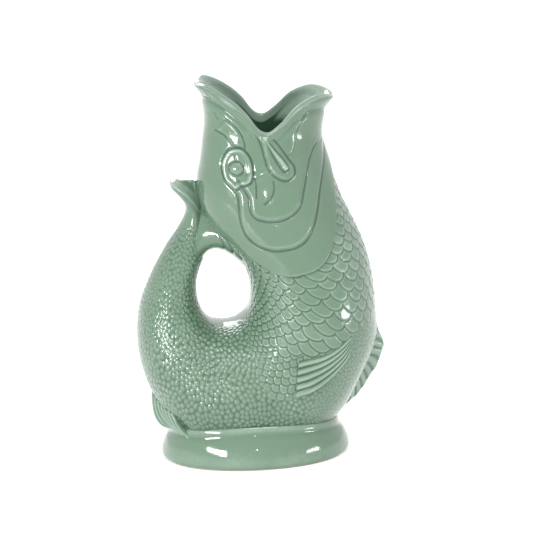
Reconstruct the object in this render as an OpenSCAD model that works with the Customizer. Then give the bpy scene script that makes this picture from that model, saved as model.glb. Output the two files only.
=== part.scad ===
// Gurgle jug: a hollow glazed earthenware jug in the form of a fish standing on an oval foot.
// The mouth is the open jaw, the belly holds the water, and the tail curls up behind as the handle.
// The tail is hollow and closed at its top, so air is trapped there and glugs out when the jug pours.
// Origin: centre of the foot's underside. +Z up, +X towards the breast and lower jaw, -Y the fish's right.

/* [Jug] */
// Length of the jug from the back of the tail to the breast fin
jug_l = 160; // [120:1:220]
// Width of the jug across both flanks
jug_w = 104; // [80:1:140]
// Height from the table to the tip of the upper jaw
jug_h = 250; // [190:1:340]
// Thickness of the cast wall
wall = 4.5; // [3:0.1:6]

/* [Mouth] */
// Width of the rolled lip across the wall
lip_w = 6.6; // [5:0.1:9]
// Height of the rolled lip above the wall's edge
lip_h = 4.8; // [3:0.1:7]

/* [Head] */
// Height of the gill cover's edge above the scaled trunk
gill_lift = 1.5; // [0.6:0.1:2.5]
// Thickness of the cheek's outer terrace
cheek_t = 1.2; // [0.8:0.1:2]
// Height of the cheek's inner terrace above the outer one
inner_cheek_t = 1; // [0.5:0.1:2]
// Height of the eye above the head
eye_t = 2.4; // [1.2:0.1:4]
// Height of the jaw fold above the head
jaw_t = 2.2; // [1.2:0.1:4]

/* [Fins] */
// Thickness of the breast fin at its root
breast_fin_t = 6; // [4:0.1:9]
// Height of the ribs on the breast fin
breast_rib = 0.9; // [0.3:0.1:1.5]
// Number of ribs on the breast fin
breast_ribs = 10; // [6:1:14]
// Height of the ribs on a pectoral fin
pectoral_rib = 2; // [0.8:0.1:3]
// Number of ribs on a pectoral fin
pectoral_ribs = 5; // [3:1:7]
// Height of a rear fin's lobe above the foot's edge
rear_fin_h = 21; // [12:0.5:28]
// Gap between a rear fin and the foot's edge
rear_gap = 1.5; // [1:0.1:3]
// How far a rear fin's lobe stands off the body
rear_lobe = 6; // [3:0.1:8]
// Height of the ribs on a rear fin
rear_rib = 0.8; // [0.3:0.1:1.5]
// Thickness of a rear fin between its ribs
rear_web_t = 0.8; // [0.5:0.1:1.5]
// Number of ribs on a rear fin
rear_ribs = 8; // [5:1:12]
// Depth of the hollow in the top of the tail fin
tail_dish = 3; // [1:0.1:5]

/* [Foot] */
// Height of the foot at the tail and breast ends
foot_end_h = 22; // [18:0.5:24]
// Height of the foot at the middle of each flank
foot_flank_h = 26; // [22:0.5:30]
// How far the foot spreads beyond the belly at its two ends
end_flare = 9.4; // [6:0.1:14]
// How far the foot spreads beyond the belly at its two flanks
side_flare = 8.6; // [5:0.1:14]
// Thickness of the floor inside the foot
floor_t = 4.5; // [3:0.1:5]
// Height of the floor's underside above the table
floor_lift = 3; // [2:0.1:4]
// Thickness of the unglazed band that the foot stands on
band_t = 0.8; // [0.5:0.1:1.5]
// How far the band reaches inside the foot ring
band_in = 4; // [2:0.5:8]

/* [Hidden] */

glaze = "#8fb09b";
pooled_glaze = "#7d9f8a";
bare_clay = "#d6cdbb";

// Clearance between a seated feature and the skin under it
seat = 0.4;
// Facets around the body and around the foot
facets = 36;
foot_facets = 44;
// Fullness of the fins' ribs and of the folds, where 1 is a plain sine and less is rounder
rib_power = 0.7;
fold_power = 0.6;

// The body is a tube that bends round the finger hole. Each station is one section of it:
// inner edge x and z (nape, then the finger hole), outer edge x and z (breast, belly, back of the tail),
// half width, and fullness towards each edge. Lengths are shares of jug_l, jug_h and jug_w, and 2 is
// the fullness of a plain ellipse.
body_shares = [
    [-0.191, 0.996,  0.372, 0.948, 0.317, 2.5, 2.0],
    [-0.166, 0.944,  0.338, 0.906, 0.332, 2.5, 2.0],
    [-0.161, 0.888,  0.320, 0.858, 0.337, 2.5, 2.0],
    [-0.172, 0.832,  0.321, 0.818, 0.346, 2.5, 2.1],
    [-0.184, 0.782,  0.333, 0.780, 0.361, 2.5, 2.2],
    [-0.194, 0.734,  0.356, 0.734, 0.380, 2.4, 2.3],
    [-0.183, 0.680,  0.388, 0.674, 0.399, 2.4, 2.3],
    [-0.150, 0.624,  0.431, 0.614, 0.423, 2.3, 2.3],
    [-0.094, 0.572,  0.472, 0.548, 0.447, 2.3, 2.3],
    [-0.037, 0.524,  0.498, 0.474, 0.471, 2.3, 2.2],
    [-0.008, 0.480,  0.508, 0.388, 0.490, 2.3, 2.2],
    [-0.002, 0.440,  0.505, 0.294, 0.500, 2.3, 2.2],
    [-0.009, 0.404,  0.449, 0.202, 0.490, 2.3, 2.2],
    [-0.030, 0.378,  0.354, 0.109, 0.466, 2.3, 2.1],
    [-0.061, 0.361,  0.222, 0.041, 0.457, 2.3, 2.1],
    [-0.095, 0.354,  0.050, 0.033, 0.460, 2.3, 2.2],
    [-0.128, 0.355, -0.113, 0.033, 0.452, 2.3, 2.2],
    [-0.159, 0.363, -0.256, 0.046, 0.420, 2.2, 2.2],
    [-0.184, 0.380, -0.359, 0.118, 0.380, 2.2, 2.1],
    [-0.203, 0.404, -0.433, 0.208, 0.342, 2.2, 2.1],
    [-0.214, 0.434, -0.464, 0.308, 0.292, 2.1, 2.1],
    [-0.214, 0.468, -0.452, 0.406, 0.252, 2.0, 2.0],
    [-0.200, 0.502, -0.398, 0.492, 0.216, 2.0, 2.0],
    [-0.180, 0.534, -0.333, 0.564, 0.173, 2.0, 2.0],
    [-0.172, 0.574, -0.286, 0.606, 0.139, 2.0, 2.0],
    [-0.175, 0.616, -0.256, 0.640, 0.120, 2.0, 2.0],
    [-0.184, 0.654, -0.248, 0.670, 0.115, 2.0, 2.0],
    [-0.193, 0.686, -0.271, 0.694, 0.120, 2.0, 2.0],
    [-0.202, 0.714, -0.302, 0.718, 0.128, 2.2, 2.2],
    [-0.206, 0.736, -0.306, 0.736, 0.118, 2.4, 2.4],
];
sections = [for (b = body_shares)
            [b[0] * jug_l, b[1] * jug_h, b[2] * jug_l, b[3] * jug_h, b[4] * jug_w, b[5], b[6]]];

// Places along the body, in stations, every 15 degrees from the inner edge round to the outer edge
mouth_shares = [0.46, 0.41, 0.36, 0.53, 0.87, 1.43, 2.20, 1.78, 0.96, 0.50, 0.41, 0.47, 0.56];
gill_shares = [6.90, 7.10, 7.55, 8.25, 8.87, 8.95, 8.72, 8.28, 7.55, 6.75, 5.85, 4.85, 4.10];
table_angle = 15;
// Height of the head above the plain tube, from the gill line (0) to the mouth (1), in gill_lift
head_rise_shares = [[0, 0.7], [0.02, 1], [0.12, 0.95], [0.25, 0.6], [0.4, 0.2], [0.55, 0],
                    [0.66, 0], [0.76, 0], [0.84, 0], [0.92, 0], [1, 0]];
// Places along the body, in stations: where the breast meets the belly, where the belly meets the
// rump, the tail's root, the end of its hollow, and the root and tip of its fin
waist_share = 13;
rump_share = 16;
tail_root_share = 19;
tail_hollow_share = 24.6;
fin_root_share = 26;
fin_tip_share = 29;

// Values part way between two others, and along a table of points
function mix(a, b, t) = a + (b - a) * t;
function ease(t) = let (c = min(1, max(0, t))) c * c * (3 - 2 * c);
function entry(t, i) = t[max(0, min(len(t) - 1, i))];
function cubic(a, b, c, d, f) = (2 * b + (c - a) * f + (2 * a - 5 * b + 4 * c - d) * f * f
                                 + (3 * b - a - 3 * c + d) * f * f * f) / 2;
function spline(t, s) = let (k = min(floor(s), len(t) - 2), f = s - k)
    cubic(entry(t, k - 1), entry(t, k), entry(t, k + 1), entry(t, k + 2), f);
function loop_spline(t, s) = let (n = len(t), k = floor(s), f = s - k)
    cubic(t[(k + n - 1) % n], t[k % n], t[(k + 1) % n], t[(k + 2) % n], f);
function sized(shares) = [for (p = shares) [p[0] * jug_l, p[1] * jug_h]];
function by_angle(t, a) = spline(t, (a <= 180 ? a : 360 - a) / table_angle);

// A point of the body's skin: station s, angle a from the inner edge round the right flank, distance out
function skin(s, a, out = 0) = let (
    c = spline(sections, s),
    reach = [c[0] - c[2], c[1] - c[3]] / 2,
    k = 2 / (cos(a) > 0 ? c[5] : c[6]),
    q = sign(cos(a)) * pow(abs(cos(a)), k) * (1 + out / norm(reach)),
    y = sign(sin(a)) * pow(abs(sin(a)), k) * (c[4] + out)
) [(c[0] + c[2]) / 2 + reach[0] * q, -y, (c[1] + c[3]) / 2 + reach[1] * q];

// The station and angle of the right flank that lie behind a point of the side view
function side_of(s, p) = let (c = spline(sections, s))
    (c[2] - c[0]) * (p[1] - c[1]) - (c[3] - c[1]) * (p[0] - c[0]);
function station_at(p, lo, hi, lo_sign, steps = 22) = let (m = (lo + hi) / 2)
    steps == 0 ? m
    : side_of(m, p) * lo_sign <= 0 ? station_at(p, lo, m, lo_sign, steps - 1)
    : station_at(p, m, hi, lo_sign, steps - 1);
function angle_at(s, p) = let (
    c = spline(sections, s),
    mid = [c[0] + c[2], c[1] + c[3]] / 2,
    reach = [c[0] - c[2], c[1] - c[3]] / 2,
    q = (p - mid) * reach / (reach * reach)
) acos(sign(q) * pow(min(1, abs(q)), (q > 0 ? c[5] : c[6]) / 2));
function head_rise(s, a) = let (
    gill = by_angle(gill_shares, a),
    t = (gill - s) / (gill - by_angle(mouth_shares, a))
) t < 0 ? 0 : gill_lift * lookup(t, head_rise_shares);
function flank_station(p, span) = station_at(p, span[0], span[1], sign(side_of(span[0], p)));
function flank(p, span, out) = let (s = flank_station(p, span), a = angle_at(s, p))
    skin(s, a, out + head_rise(s, a));

// Closed meshes from rows of points: closed both ways, or closed by a point at each end
function flat_list(rows) = [for (r = rows) each r];
function band(i, k, n) = [for (j = [0:n - 1]) let (
    a = i * n + j,
    b = i * n + (j + 1) % n,
    c = k * n + (j + 1) % n,
    d = k * n + j
) each [[a, c, b], [a, d, c]]];
function turned(faces, back) = back ? [for (f = faces) [f[0], f[2], f[1]]] : faces;
module closed_mesh(rows, back = false) {
    n = len(rows[0]);
    m = len(rows);
    polyhedron(flat_list(rows), turned([for (i = [0:m - 1]) each band(i, (i + 1) % m, n)], back));
}
module ended_mesh(first, rows, last, back = false) {
    n = len(rows[0]);
    m = len(rows);
    start = [for (j = [0:n - 1]) [n * m, j, (j + 1) % n]];
    end = [for (j = [0:n - 1]) [n * m + 1, (m - 1) * n + (j + 1) % n, (m - 1) * n + j]];
    sides = [for (i = [0:m - 2]) each band(i, i + 1, n)];
    polyhedron(concat(flat_list(rows), [first, last]), turned(concat(start, sides, end), back));
}

// Rows of the body between the mouth, the gill line and the tail's root
angles = [for (j = [0:facets - 1]) 360 * j / facets];
function head_row(t, out) = [for (a = angles)
    skin(mix(by_angle(gill_shares, a), by_angle(mouth_shares, a), t), a, out)];
function breast_row(t, out) = [for (a = angles)
    skin(mix(by_angle(gill_shares, a), waist_share, t), a, out)];
function level_row(s, out) = [for (a = angles) skin(s, a, out)];
function centre_of(row, i = 0, sum = [0, 0, 0]) =
    i == len(row) ? sum / len(row) : centre_of(row, i + 1, sum + row[i]);

module head_shell() {
    outer = [for (r = head_rise_shares) head_row(r[0], gill_lift * r[1])];
    inner = [for (i = [7:-1:0]) head_row(i / 7, -wall)];
    color(glaze) closed_mesh(concat([head_row(0, 0)], outer, inner));
}

module lip_rim() {
    // How far below the edge, in stations, the wall's slope is taken
    below_edge_share = 0.15;
    // Places round the bead: across the wall from its middle, and up from its edge
    bead_shares = [[-0.42, 0.3], [-0.36, 0.66], [-0.1, 0.96], [0.24, 0.95], [0.46, 0.68], [0.5, 0.3]];
    edge = [for (a = angles) let (
        s = by_angle(mouth_shares, a),
        o = skin(s, a),
        i = skin(s, a, -wall),
        low = skin(s + below_edge_share, a)
    ) [o, i, (o - i) / norm(o - i), (o - low) / norm(o - low)]];
    function bead(p) = [for (e = edge)
        (e[0] + e[1]) / 2 + e[2] * p[0] * lip_w + e[3] * p[1] * lip_h];
    outer = [for (e = edge) e[0]];
    inner = [for (e = edge) e[1]];
    color(glaze) closed_mesh(concat([inner], [for (p = bead_shares) bead(p)], [outer]), back = true);
}

// The trunk: the breast runs down from the gill line, the belly on to the middle of the foot, and the
// rump up to the tail
module breast_shell() {
    outer = [for (i = [0:13]) breast_row(i / 13, 0)];
    inner = [for (i = [7:-1:0]) breast_row(i / 7, -wall)];
    color(glaze) closed_mesh(concat(outer, inner), back = true);
}

module trunk_part(from, to) {
    outer = [for (i = [0:5]) level_row(mix(from, to, i / 5), 0)];
    inner = [for (i = [3:-1:0]) level_row(mix(from, to, i / 3), -wall)];
    color(glaze) closed_mesh(concat(outer, inner), back = true);
}
module belly_shell() {
    trunk_part(waist_share, rump_share);
}
module rump_shell() {
    trunk_part(rump_share, tail_root_share);
}

module tail_shell() {
    outer = [for (i = [10:-1:0]) level_row(mix(tail_root_share, fin_root_share, i / 10), 0)];
    inner = [for (i = [0:7]) level_row(mix(tail_root_share, tail_hollow_share, i / 7), -wall)];
    color(glaze) ended_mesh(centre_of(outer[0]), concat(outer, inner), centre_of(inner[7]));
}

module tail_fin() {
    // The fin widens into a flat crown whose top is dished between two rims
    sides = [for (i = [0:6]) level_row(mix(fin_root_share, fin_tip_share, i / 6), 0)];
    crown = centre_of(sides[6]);
    function inward(share, drop) = [for (p = sides[6]) mix(p, crown, share) - [0, 0, drop]];
    top = [inward(0.12, -tail_dish / 4), inward(0.3, tail_dish / 4), inward(0.6, tail_dish)];
    color(glaze)
        ended_mesh(centre_of(sides[0]), concat(sides, top), crown - [0, 0, tail_dish], back = true);
}

// The web that joins the tail's shaft to the nape, above the finger hole
module tail_web() {
    // Stations and angles of its two ends: on the nape under the gill line, and on the tail's shaft
    nape_top_share = 7.05;
    nape_bottom_share = 8.62;
    nape_angle = 24;
    shaft_top_share = 25.9;
    shaft_bottom_share = 23.45;
    shaft_angle = 62;
    // How far the web draws in half way across
    pinch_share = 0.12;
    // Least distance, in stations, under the gill line
    under_gill_share = 0.3;
    turns = [for (j = [0:27]) 360 * j / 28];
    // A place round the end's outline: angle f from its top, and r from its middle (0) to its edge (1)
    function end_point(f, r, top, bottom, reach) = let (
        a = r * reach * sin(f),
        edge = f <= 90 || f >= 270 ? top : bottom
    ) skin(mix((top + bottom) / 2, edge, r * abs(cos(f))), a < 0 ? a + 360 : a, seat);
    function gill_limit(f, r) =
        max(nape_top_share, by_angle(gill_shares, abs(r * nape_angle * sin(f))) + under_gill_share);
    function nape(f, r) = end_point(f, r, gill_limit(f, r), nape_bottom_share, nape_angle);
    function shaft(f, r) = end_point(f, r, shaft_top_share, shaft_bottom_share, shaft_angle);
    on_nape = [for (r = [0.25, 0.5, 0.75]) [for (f = turns) nape(f, r)]];
    on_shaft = [for (r = [0.75, 0.5, 0.25]) [for (f = turns) shaft(f, r)]];
    from = [for (f = turns) nape(f, 1)];
    to = [for (f = turns) shaft(f, 1)];
    middle = (centre_of(from) + centre_of(to)) / 2;
    span = [for (i = [0:5]) [for (j = [0:27]) let (p = mix(from[j], to[j], i / 5))
            mix(p, [p[0], middle[1], p[2]], pinch_share * sin(180 * i / 5))]];
    color(pooled_glaze)
        ended_mesh(nape(0, 0), concat(on_nape, span, on_shaft), shaft(0, 0), back = true);
}

// The fin down the middle of the breast: its outer edge, and the stations of its root
module breast_fin() {
    edge_shares = [[0.512, 0.338], [0.521, 0.310], [0.540, 0.277], [0.532, 0.256], [0.508, 0.216],
                   [0.478, 0.190], [0.453, 0.164], [0.418, 0.138], [0.372, 0.115], [0.344, 0.098]];
    root_from_share = 10.78;
    root_to_share = 13.12;
    slant = 1.6;
    thin_share = 0.45;
    rows_along = 40;
    edge = sized(edge_shares);
    function rib(f, g) = breast_rib * pow(abs(sin(180 * (breast_ribs * f - slant * g))), rib_power);
    function half(f, g) =
        breast_fin_t / 2 * (1 - thin_share * g) + rib(f, g) * min(1, 4 * g) - breast_rib / 2;
    function row(f) = let (
        root = skin(mix(root_from_share, root_to_share, f), 180, seat),
        tip = spline(edge, f * (len(edge) - 1)),
        at = function (g, side) [mix(root[0], tip[0], g), side * half(f, g), mix(root[2], tip[1], g)]
    ) [at(0, -1), at(0.5, -1), at(1, -1), at(1, 1), at(0.5, 1), at(0, 1)];
    rows = [for (i = [0:rows_along]) row(i / rows_along)];
    color(glaze) ended_mesh(centre_of(rows[0]), rows, centre_of(rows[rows_along]), back = true);
}

// A strip that lies on the right flank between two edges of the side view, ridged by height(f, g)
module flank_strip(upper, lower, span, along, across, height) {
    function place(f, g) =
        mix(spline(upper, f * (len(upper) - 1)), spline(lower, f * (len(lower) - 1)), g);
    function row(i) = let (f = i / along) concat(
        [for (j = [0:across]) flank(place(f, j / across), span, seat)],
        [for (j = [across:-1:0]) flank(place(f, j / across), span, seat + height(f, j / across))]);
    rows = [for (i = [0:along]) row(i)];
    ended_mesh(centre_of(rows[0]), rows, centre_of(rows[along]));
}

module right_pectoral_fin() {
    upper_shares = [[0.390, 0.344], [0.356, 0.329], [0.318, 0.314], [0.264, 0.300],
                    [0.196, 0.292], [0.171, 0.288]];
    lower_shares = [[0.388, 0.318], [0.366, 0.282], [0.330, 0.254], [0.286, 0.228],
                    [0.225, 0.202], [0.150, 0.189]];
    tip_share = 0.35;
    web_t = 0.8;
    rise = function (f, g)
        web_t + pectoral_rib * mix(tip_share, 1, f) * pow(abs(sin(180 * pectoral_ribs * g)), rib_power);
    color(glaze)
        flank_strip(sized(upper_shares), sized(lower_shares), [9, 15], 6, 4 * pectoral_ribs, rise);
}

module right_jaw_fold() {
    left_shares = [[0.013, 0.891], [0.037, 0.866], [0.062, 0.841], [0.072, 0.812], [0.078, 0.787],
                   [0.096, 0.764], [0.134, 0.750]];
    right_shares = [[0.024, 0.887], [0.068, 0.859], [0.110, 0.842], [0.150, 0.824], [0.178, 0.802],
                    [0.189, 0.778], [0.172, 0.754]];
    top_share = 0.4;
    edge_t = 0.6;
    rise = function (f, g) edge_t + (jaw_t - edge_t) * mix(top_share, 1, f) * pow(sin(180 * g), fold_power);
    color(glaze) flank_strip(sized(left_shares), sized(right_shares), [1, 7], 9, 6, rise);
}

// A patch on the right flank, from its middle to its rim. Each ring has its place between the middle
// and an outline, its height, and the outline as a place between the inner one and the outer one.
module flank_patch(middle, inner, outer, span, under, over, fade) {
    function ring(r, k, rise) = [for (j = [0:len(inner) - 1])
        let (p = mix(middle, mix(inner[j], outer[j], k), r)) flank(p, span, seat + rise * fade(p))];
    rows = concat([for (u = under) ring(u[0], u[2], u[1])], [for (o = over) ring(o[0], o[2], o[1])]);
    ended_mesh(flank(middle, span, seat), rows, flank(middle, span, seat + over[len(over) - 1][1]));
}

module right_eye() {
    middle = [-0.036 * jug_l, 0.792 * jug_h];
    eye_l = 0.064 * jug_l;
    eye_h = 0.048 * jug_h;
    spokes = 20;
    under = [[0.4, 0, 0], [0.75, 0, 0], [1, 0, 0]];
    over = [[1, 0.28, 0], [0.86, 0.66, 0], [0.66, 0.86, 0], [0.46, 0.78, 0], [0.36, 0.55, 0],
            [0.3, 0.72, 0], [0.16, 0.97, 0]];
    outline = [for (j = [0:spokes - 1])
        middle + [eye_l * cos(360 * j / spokes), eye_h * sin(360 * j / spokes)]];
    level = function (p) eye_t;
    color(glaze) flank_patch(middle, outline, outline, [1, 7], under, over, level);
}

// The cheek: a raised terrace round a higher inner one, both fading out under the jaw
module right_cheek_plate() {
    inner_shares = [[-0.009, 0.721], [-0.003, 0.690], [0.004, 0.670], [0.033, 0.653],
                    [0.087, 0.646], [0.163, 0.658], [0.206, 0.684], [0.228, 0.730],
                    [0.236, 0.768], [0.226, 0.788], [0.214, 0.776], [0.200, 0.754],
                    [0.180, 0.738], [0.141, 0.732], [0.087, 0.740], [0.037, 0.738]];
    outer_shares = [[-0.056, 0.725], [-0.044, 0.700], [-0.042, 0.659], [-0.016, 0.612],
                    [0.055, 0.581], [0.125, 0.575], [0.220, 0.599], [0.266, 0.638],
                    [0.291, 0.720], [0.290, 0.800], [0.250, 0.812], [0.218, 0.784],
                    [0.190, 0.754], [0.141, 0.744], [0.087, 0.752], [0.023, 0.752]];
    middle_share = [0.115, 0.690];
    fade_top_share = 0.80;
    fade_depth_share = 0.12;
    spokes = 32;
    function outline(shares) = let (t = sized(shares))
        [for (j = [0:spokes - 1]) loop_spline(t, j * len(t) / spokes)];
    full = cheek_t + inner_cheek_t;
    under = [[0.5, 0, 0.5], [1, 0, 0], [1, 0, 0.5], [1, 0, 1]];
    over = [[1, cheek_t / 2, 1], [1, cheek_t, 0.9], [1, cheek_t, 0.5], [1, cheek_t, 0.08],
            [0.97, full, 0], [0.75, full, 0], [0.4, full, 0]];
    edge_share = 0.12;
    fade = function (p) mix(edge_share, 1, ease((fade_top_share - p[1] / jug_h) / fade_depth_share));
    color(glaze) flank_patch(sized([middle_share])[0], outline(inner_shares), outline(outer_shares),
                             [1, 11], under, over, fade);
}

module left_pectoral_fin() {
    mirror([0, 1, 0]) right_pectoral_fin();
}
module left_jaw_fold() {
    mirror([0, 1, 0]) right_jaw_fold();
}
module left_rear_fin() {
    mirror([0, 1, 0]) right_rear_fin();
}
module left_eye() {
    mirror([0, 1, 0]) right_eye();
}
module left_cheek_plate() {
    mirror([0, 1, 0]) right_cheek_plate();
}

// The foot's top edge follows the belly: the places where the skin reaches the foot's own height
function rail_cross(z, lo, hi, lo_sign, steps = 22) = let (m = (lo + hi) / 2)
    steps == 0 ? m
    : (spline(sections, m)[3] - z) * lo_sign <= 0 ? rail_cross(z, lo, m, lo_sign, steps - 1)
    : rail_cross(z, m, hi, lo_sign, steps - 1);
breast_end = spline(sections, rail_cross(foot_end_h, 11, 15, 1))[2];
tail_end = spline(sections, rail_cross(foot_end_h, 16, 19, -1))[2];
belly_span = [10.5, 19.5];
function foot_side(f) =
    [mix(tail_end, breast_end, (1 + cos(f)) / 2), mix(foot_end_h, foot_flank_h, pow(sin(f), 2))];
function seat_point(f) = let (p = foot_side(f), q = flank(p, belly_span, seat))
    [p[0] + seat * cos(f), f == 0 || f == 180 ? 0 : f < 180 ? q[1] : -q[1], p[1]];
foot_seat = [for (j = [0:foot_facets - 1]) seat_point(360 * j / foot_facets)];
foot_l = breast_end - tail_end + 2 * end_flare;
foot_w = 2 * (side_flare - seat_point(90)[1]);

// Outline of the foot at a place between the belly (0) and the oval (1)
function foot_outline(place) = [for (j = [0:foot_facets - 1])
    let (f = 360 * j / foot_facets, s = foot_seat[j], oval = [foot_l * cos(f), -foot_w * sin(f)] / 2)
    mix([s[0], s[1]], oval + [(breast_end + tail_end) / 2, 0], place)];

// A rear fin: a fan lobe at the back that runs on as a ribbed band along the top of the foot
module right_rear_fin() {
    // Foot angle and height above the foot's edge in rear_fin_h, from the lobe to the band's front
    line_shares = [[176, 1], [171, 0.84], [164, 0.58], [156, 0.4], [146, 0.26]];
    lobe_share = 0.45;
    rows_along = 20;
    across = 4;
    function rib(f) = rear_rib * pow(abs(sin(180 * rear_ribs * f)), rib_power);
    function rise(f, g) = let (lobe = mix(rear_lobe, rear_rib, ease(f / lobe_share)))
        rear_web_t + rib(f) + lobe * pow(sin(180 * g), fold_power);
    function level(z, a, lo = 15, hi = 20, steps = 20) = let (m = (lo + hi) / 2)
        steps == 0 ? m : skin(m, a)[2] > z ? level(z, a, lo, m, steps - 1) : level(z, a, m, hi, steps - 1);
    function along(f) = let (
        c = spline(line_shares, f * (len(line_shares) - 1)),
        p = foot_side(c[0])
    ) [angle_at(flank_station(p, belly_span), p), p[1] + rear_gap, c[1] * rear_fin_h];
    function row(i) = let (f = i / rows_along, c = along(f)) concat(
        [for (j = [0:across]) skin(level(c[1] + c[2] * (1 - j / across), c[0]), c[0], seat)],
        [for (j = [across:-1:0])
            skin(level(c[1] + c[2] * (1 - j / across), c[0]), c[0], seat + rise(f, j / across))]);
    rows = [for (i = [0:rows_along]) row(i)];
    color(pooled_glaze) ended_mesh(centre_of(rows[0]), rows, centre_of(rows[rows_along]), back = true);
}

// Outer edge of the band that the foot stands on
band_share = 0.66;

module foot_ring() {
    // Profile of the foot: place between the belly and the oval outline, and height as a share
    profile_shares = [[0, 1], [0.24, 0.95], [0.56, 0.87], [0.79, 0.75], [0.93, 0.57], [1, 0.37],
                      [0.965, 0.18], [0.85, 0.05], [band_share, 0], [0.3, 0], [0.12, 0.05], [0, 0.14]];
    function ring(p) = let (c = foot_outline(p[0])) [for (j = [0:foot_facets - 1])
                        [c[j][0], c[j][1], mix(band_t, foot_seat[j][2], p[1])]];
    color(glaze) closed_mesh([for (p = profile_shares) ring(p)]);
}

// The floor inside the foot, with the flat unglazed band that touches the table
module base_floor() {
    module below(height, place) {
        linear_extrude(height) difference() {
            polygon(foot_outline(place));
            offset(delta = -band_in) polygon(foot_outline(0));
        }
    }
    color(bare_clay) union() {
        translate([0, 0, floor_lift]) linear_extrude(floor_t) polygon(foot_outline(0));
        below(floor_lift, 0);
        below(band_t, band_share);
    }
}

foot_ring();
base_floor();
rump_shell();
belly_shell();
breast_shell();
head_shell();
lip_rim();
tail_shell();
tail_fin();
tail_web();
breast_fin();
right_pectoral_fin();
left_pectoral_fin();
right_rear_fin();
left_rear_fin();
right_eye();
left_eye();
right_cheek_plate();
left_cheek_plate();
right_jaw_fold();
left_jaw_fold();
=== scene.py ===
"""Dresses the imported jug: fine glazed skins over its solids, the unglazed foot, and a plain studio.

The jug is a fish. Its skin is one bent tube, given by the same table of sections as the part's source,
and everything carved on it is a height added to that tube: scales, pebbled skin, the gill cover's edge,
the eyes, the cheeks and the jaw. Lengths are in metres and angles in radians.
"""

import math

import bpy
import numpy as np
from mathutils import Matrix, Vector, kdtree


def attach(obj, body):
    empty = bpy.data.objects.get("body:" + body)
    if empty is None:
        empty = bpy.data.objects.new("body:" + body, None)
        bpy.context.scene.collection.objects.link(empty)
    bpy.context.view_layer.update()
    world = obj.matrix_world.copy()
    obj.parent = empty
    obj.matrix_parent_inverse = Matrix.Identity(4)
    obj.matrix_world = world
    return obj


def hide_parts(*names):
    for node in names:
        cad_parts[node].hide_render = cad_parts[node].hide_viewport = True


bl_info = {
    "name": "Fish Gurgle Jug",
    "version": (1, 0, 0),
    "blender": (4, 5, 0),
    "location": "View3D > Sidebar > Jug",
    "description": "Fine glazed skins, fins and foot for a gurgle jug, with its studio",
    "category": "Add Mesh",
}

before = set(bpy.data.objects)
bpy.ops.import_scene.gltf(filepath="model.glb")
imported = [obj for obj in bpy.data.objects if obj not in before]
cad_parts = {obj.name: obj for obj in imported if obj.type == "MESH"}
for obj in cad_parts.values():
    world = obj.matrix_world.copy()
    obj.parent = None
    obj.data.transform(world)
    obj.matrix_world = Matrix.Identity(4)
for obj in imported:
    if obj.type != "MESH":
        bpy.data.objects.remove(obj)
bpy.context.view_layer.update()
MM = 0.001

# The body's sections, one row a station: inner edge x and z, outer edge x and z, half width, and the
# fullness towards each edge. Lengths are shares of the jug's length, height and width.
BODY_SHARES = (
    (-0.191, 0.996, 0.372, 0.948, 0.317, 2.5, 2.0),
    (-0.166, 0.944, 0.338, 0.906, 0.332, 2.5, 2.0),
    (-0.161, 0.888, 0.320, 0.858, 0.337, 2.5, 2.0),
    (-0.172, 0.832, 0.321, 0.818, 0.346, 2.5, 2.1),
    (-0.184, 0.782, 0.333, 0.780, 0.361, 2.5, 2.2),
    (-0.194, 0.734, 0.356, 0.734, 0.380, 2.4, 2.3),
    (-0.183, 0.680, 0.388, 0.674, 0.399, 2.4, 2.3),
    (-0.150, 0.624, 0.431, 0.614, 0.423, 2.3, 2.3),
    (-0.094, 0.572, 0.472, 0.548, 0.447, 2.3, 2.3),
    (-0.037, 0.524, 0.498, 0.474, 0.471, 2.3, 2.2),
    (-0.008, 0.480, 0.508, 0.388, 0.490, 2.3, 2.2),
    (-0.002, 0.440, 0.505, 0.294, 0.500, 2.3, 2.2),
    (-0.009, 0.404, 0.449, 0.202, 0.490, 2.3, 2.2),
    (-0.030, 0.378, 0.354, 0.109, 0.466, 2.3, 2.1),
    (-0.061, 0.361, 0.222, 0.041, 0.457, 2.3, 2.1),
    (-0.095, 0.354, 0.050, 0.033, 0.460, 2.3, 2.2),
    (-0.128, 0.355, -0.113, 0.033, 0.452, 2.3, 2.2),
    (-0.159, 0.363, -0.256, 0.046, 0.420, 2.2, 2.2),
    (-0.184, 0.380, -0.359, 0.118, 0.380, 2.2, 2.1),
    (-0.203, 0.404, -0.433, 0.208, 0.342, 2.2, 2.1),
    (-0.214, 0.434, -0.464, 0.308, 0.292, 2.1, 2.1),
    (-0.214, 0.468, -0.452, 0.406, 0.252, 2.0, 2.0),
    (-0.200, 0.502, -0.398, 0.492, 0.216, 2.0, 2.0),
    (-0.180, 0.534, -0.333, 0.564, 0.173, 2.0, 2.0),
    (-0.172, 0.574, -0.286, 0.606, 0.139, 2.0, 2.0),
    (-0.175, 0.616, -0.256, 0.640, 0.120, 2.0, 2.0),
    (-0.184, 0.654, -0.248, 0.670, 0.115, 2.0, 2.0),
    (-0.193, 0.686, -0.271, 0.694, 0.120, 2.0, 2.0),
    (-0.202, 0.714, -0.302, 0.718, 0.128, 2.2, 2.2),
    (-0.206, 0.736, -0.306, 0.736, 0.118, 2.4, 2.4),
)
# Stations of the mouth's edge, the gill cover's edge and the tail fin's rim, every 15 degrees from the
# inner edge round to the outer edge
MOUTH_SHARES = (0.46, 0.41, 0.36, 0.53, 0.87, 1.43, 2.20, 1.78, 0.96, 0.50, 0.41, 0.47, 0.56)
GILL_SHARES = (6.90, 7.10, 7.55, 8.25, 8.87, 8.95, 8.72, 8.28, 7.55, 6.75, 5.85, 4.85, 4.10)
FIN_RIM_SHARES = (28.9, 27.3, 26.2, 26.0, 26.2, 26.7, 27.3, 27.8, 28.15, 28.35, 28.45, 28.5, 28.5)
TABLE_STEP = math.radians(15)
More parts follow.
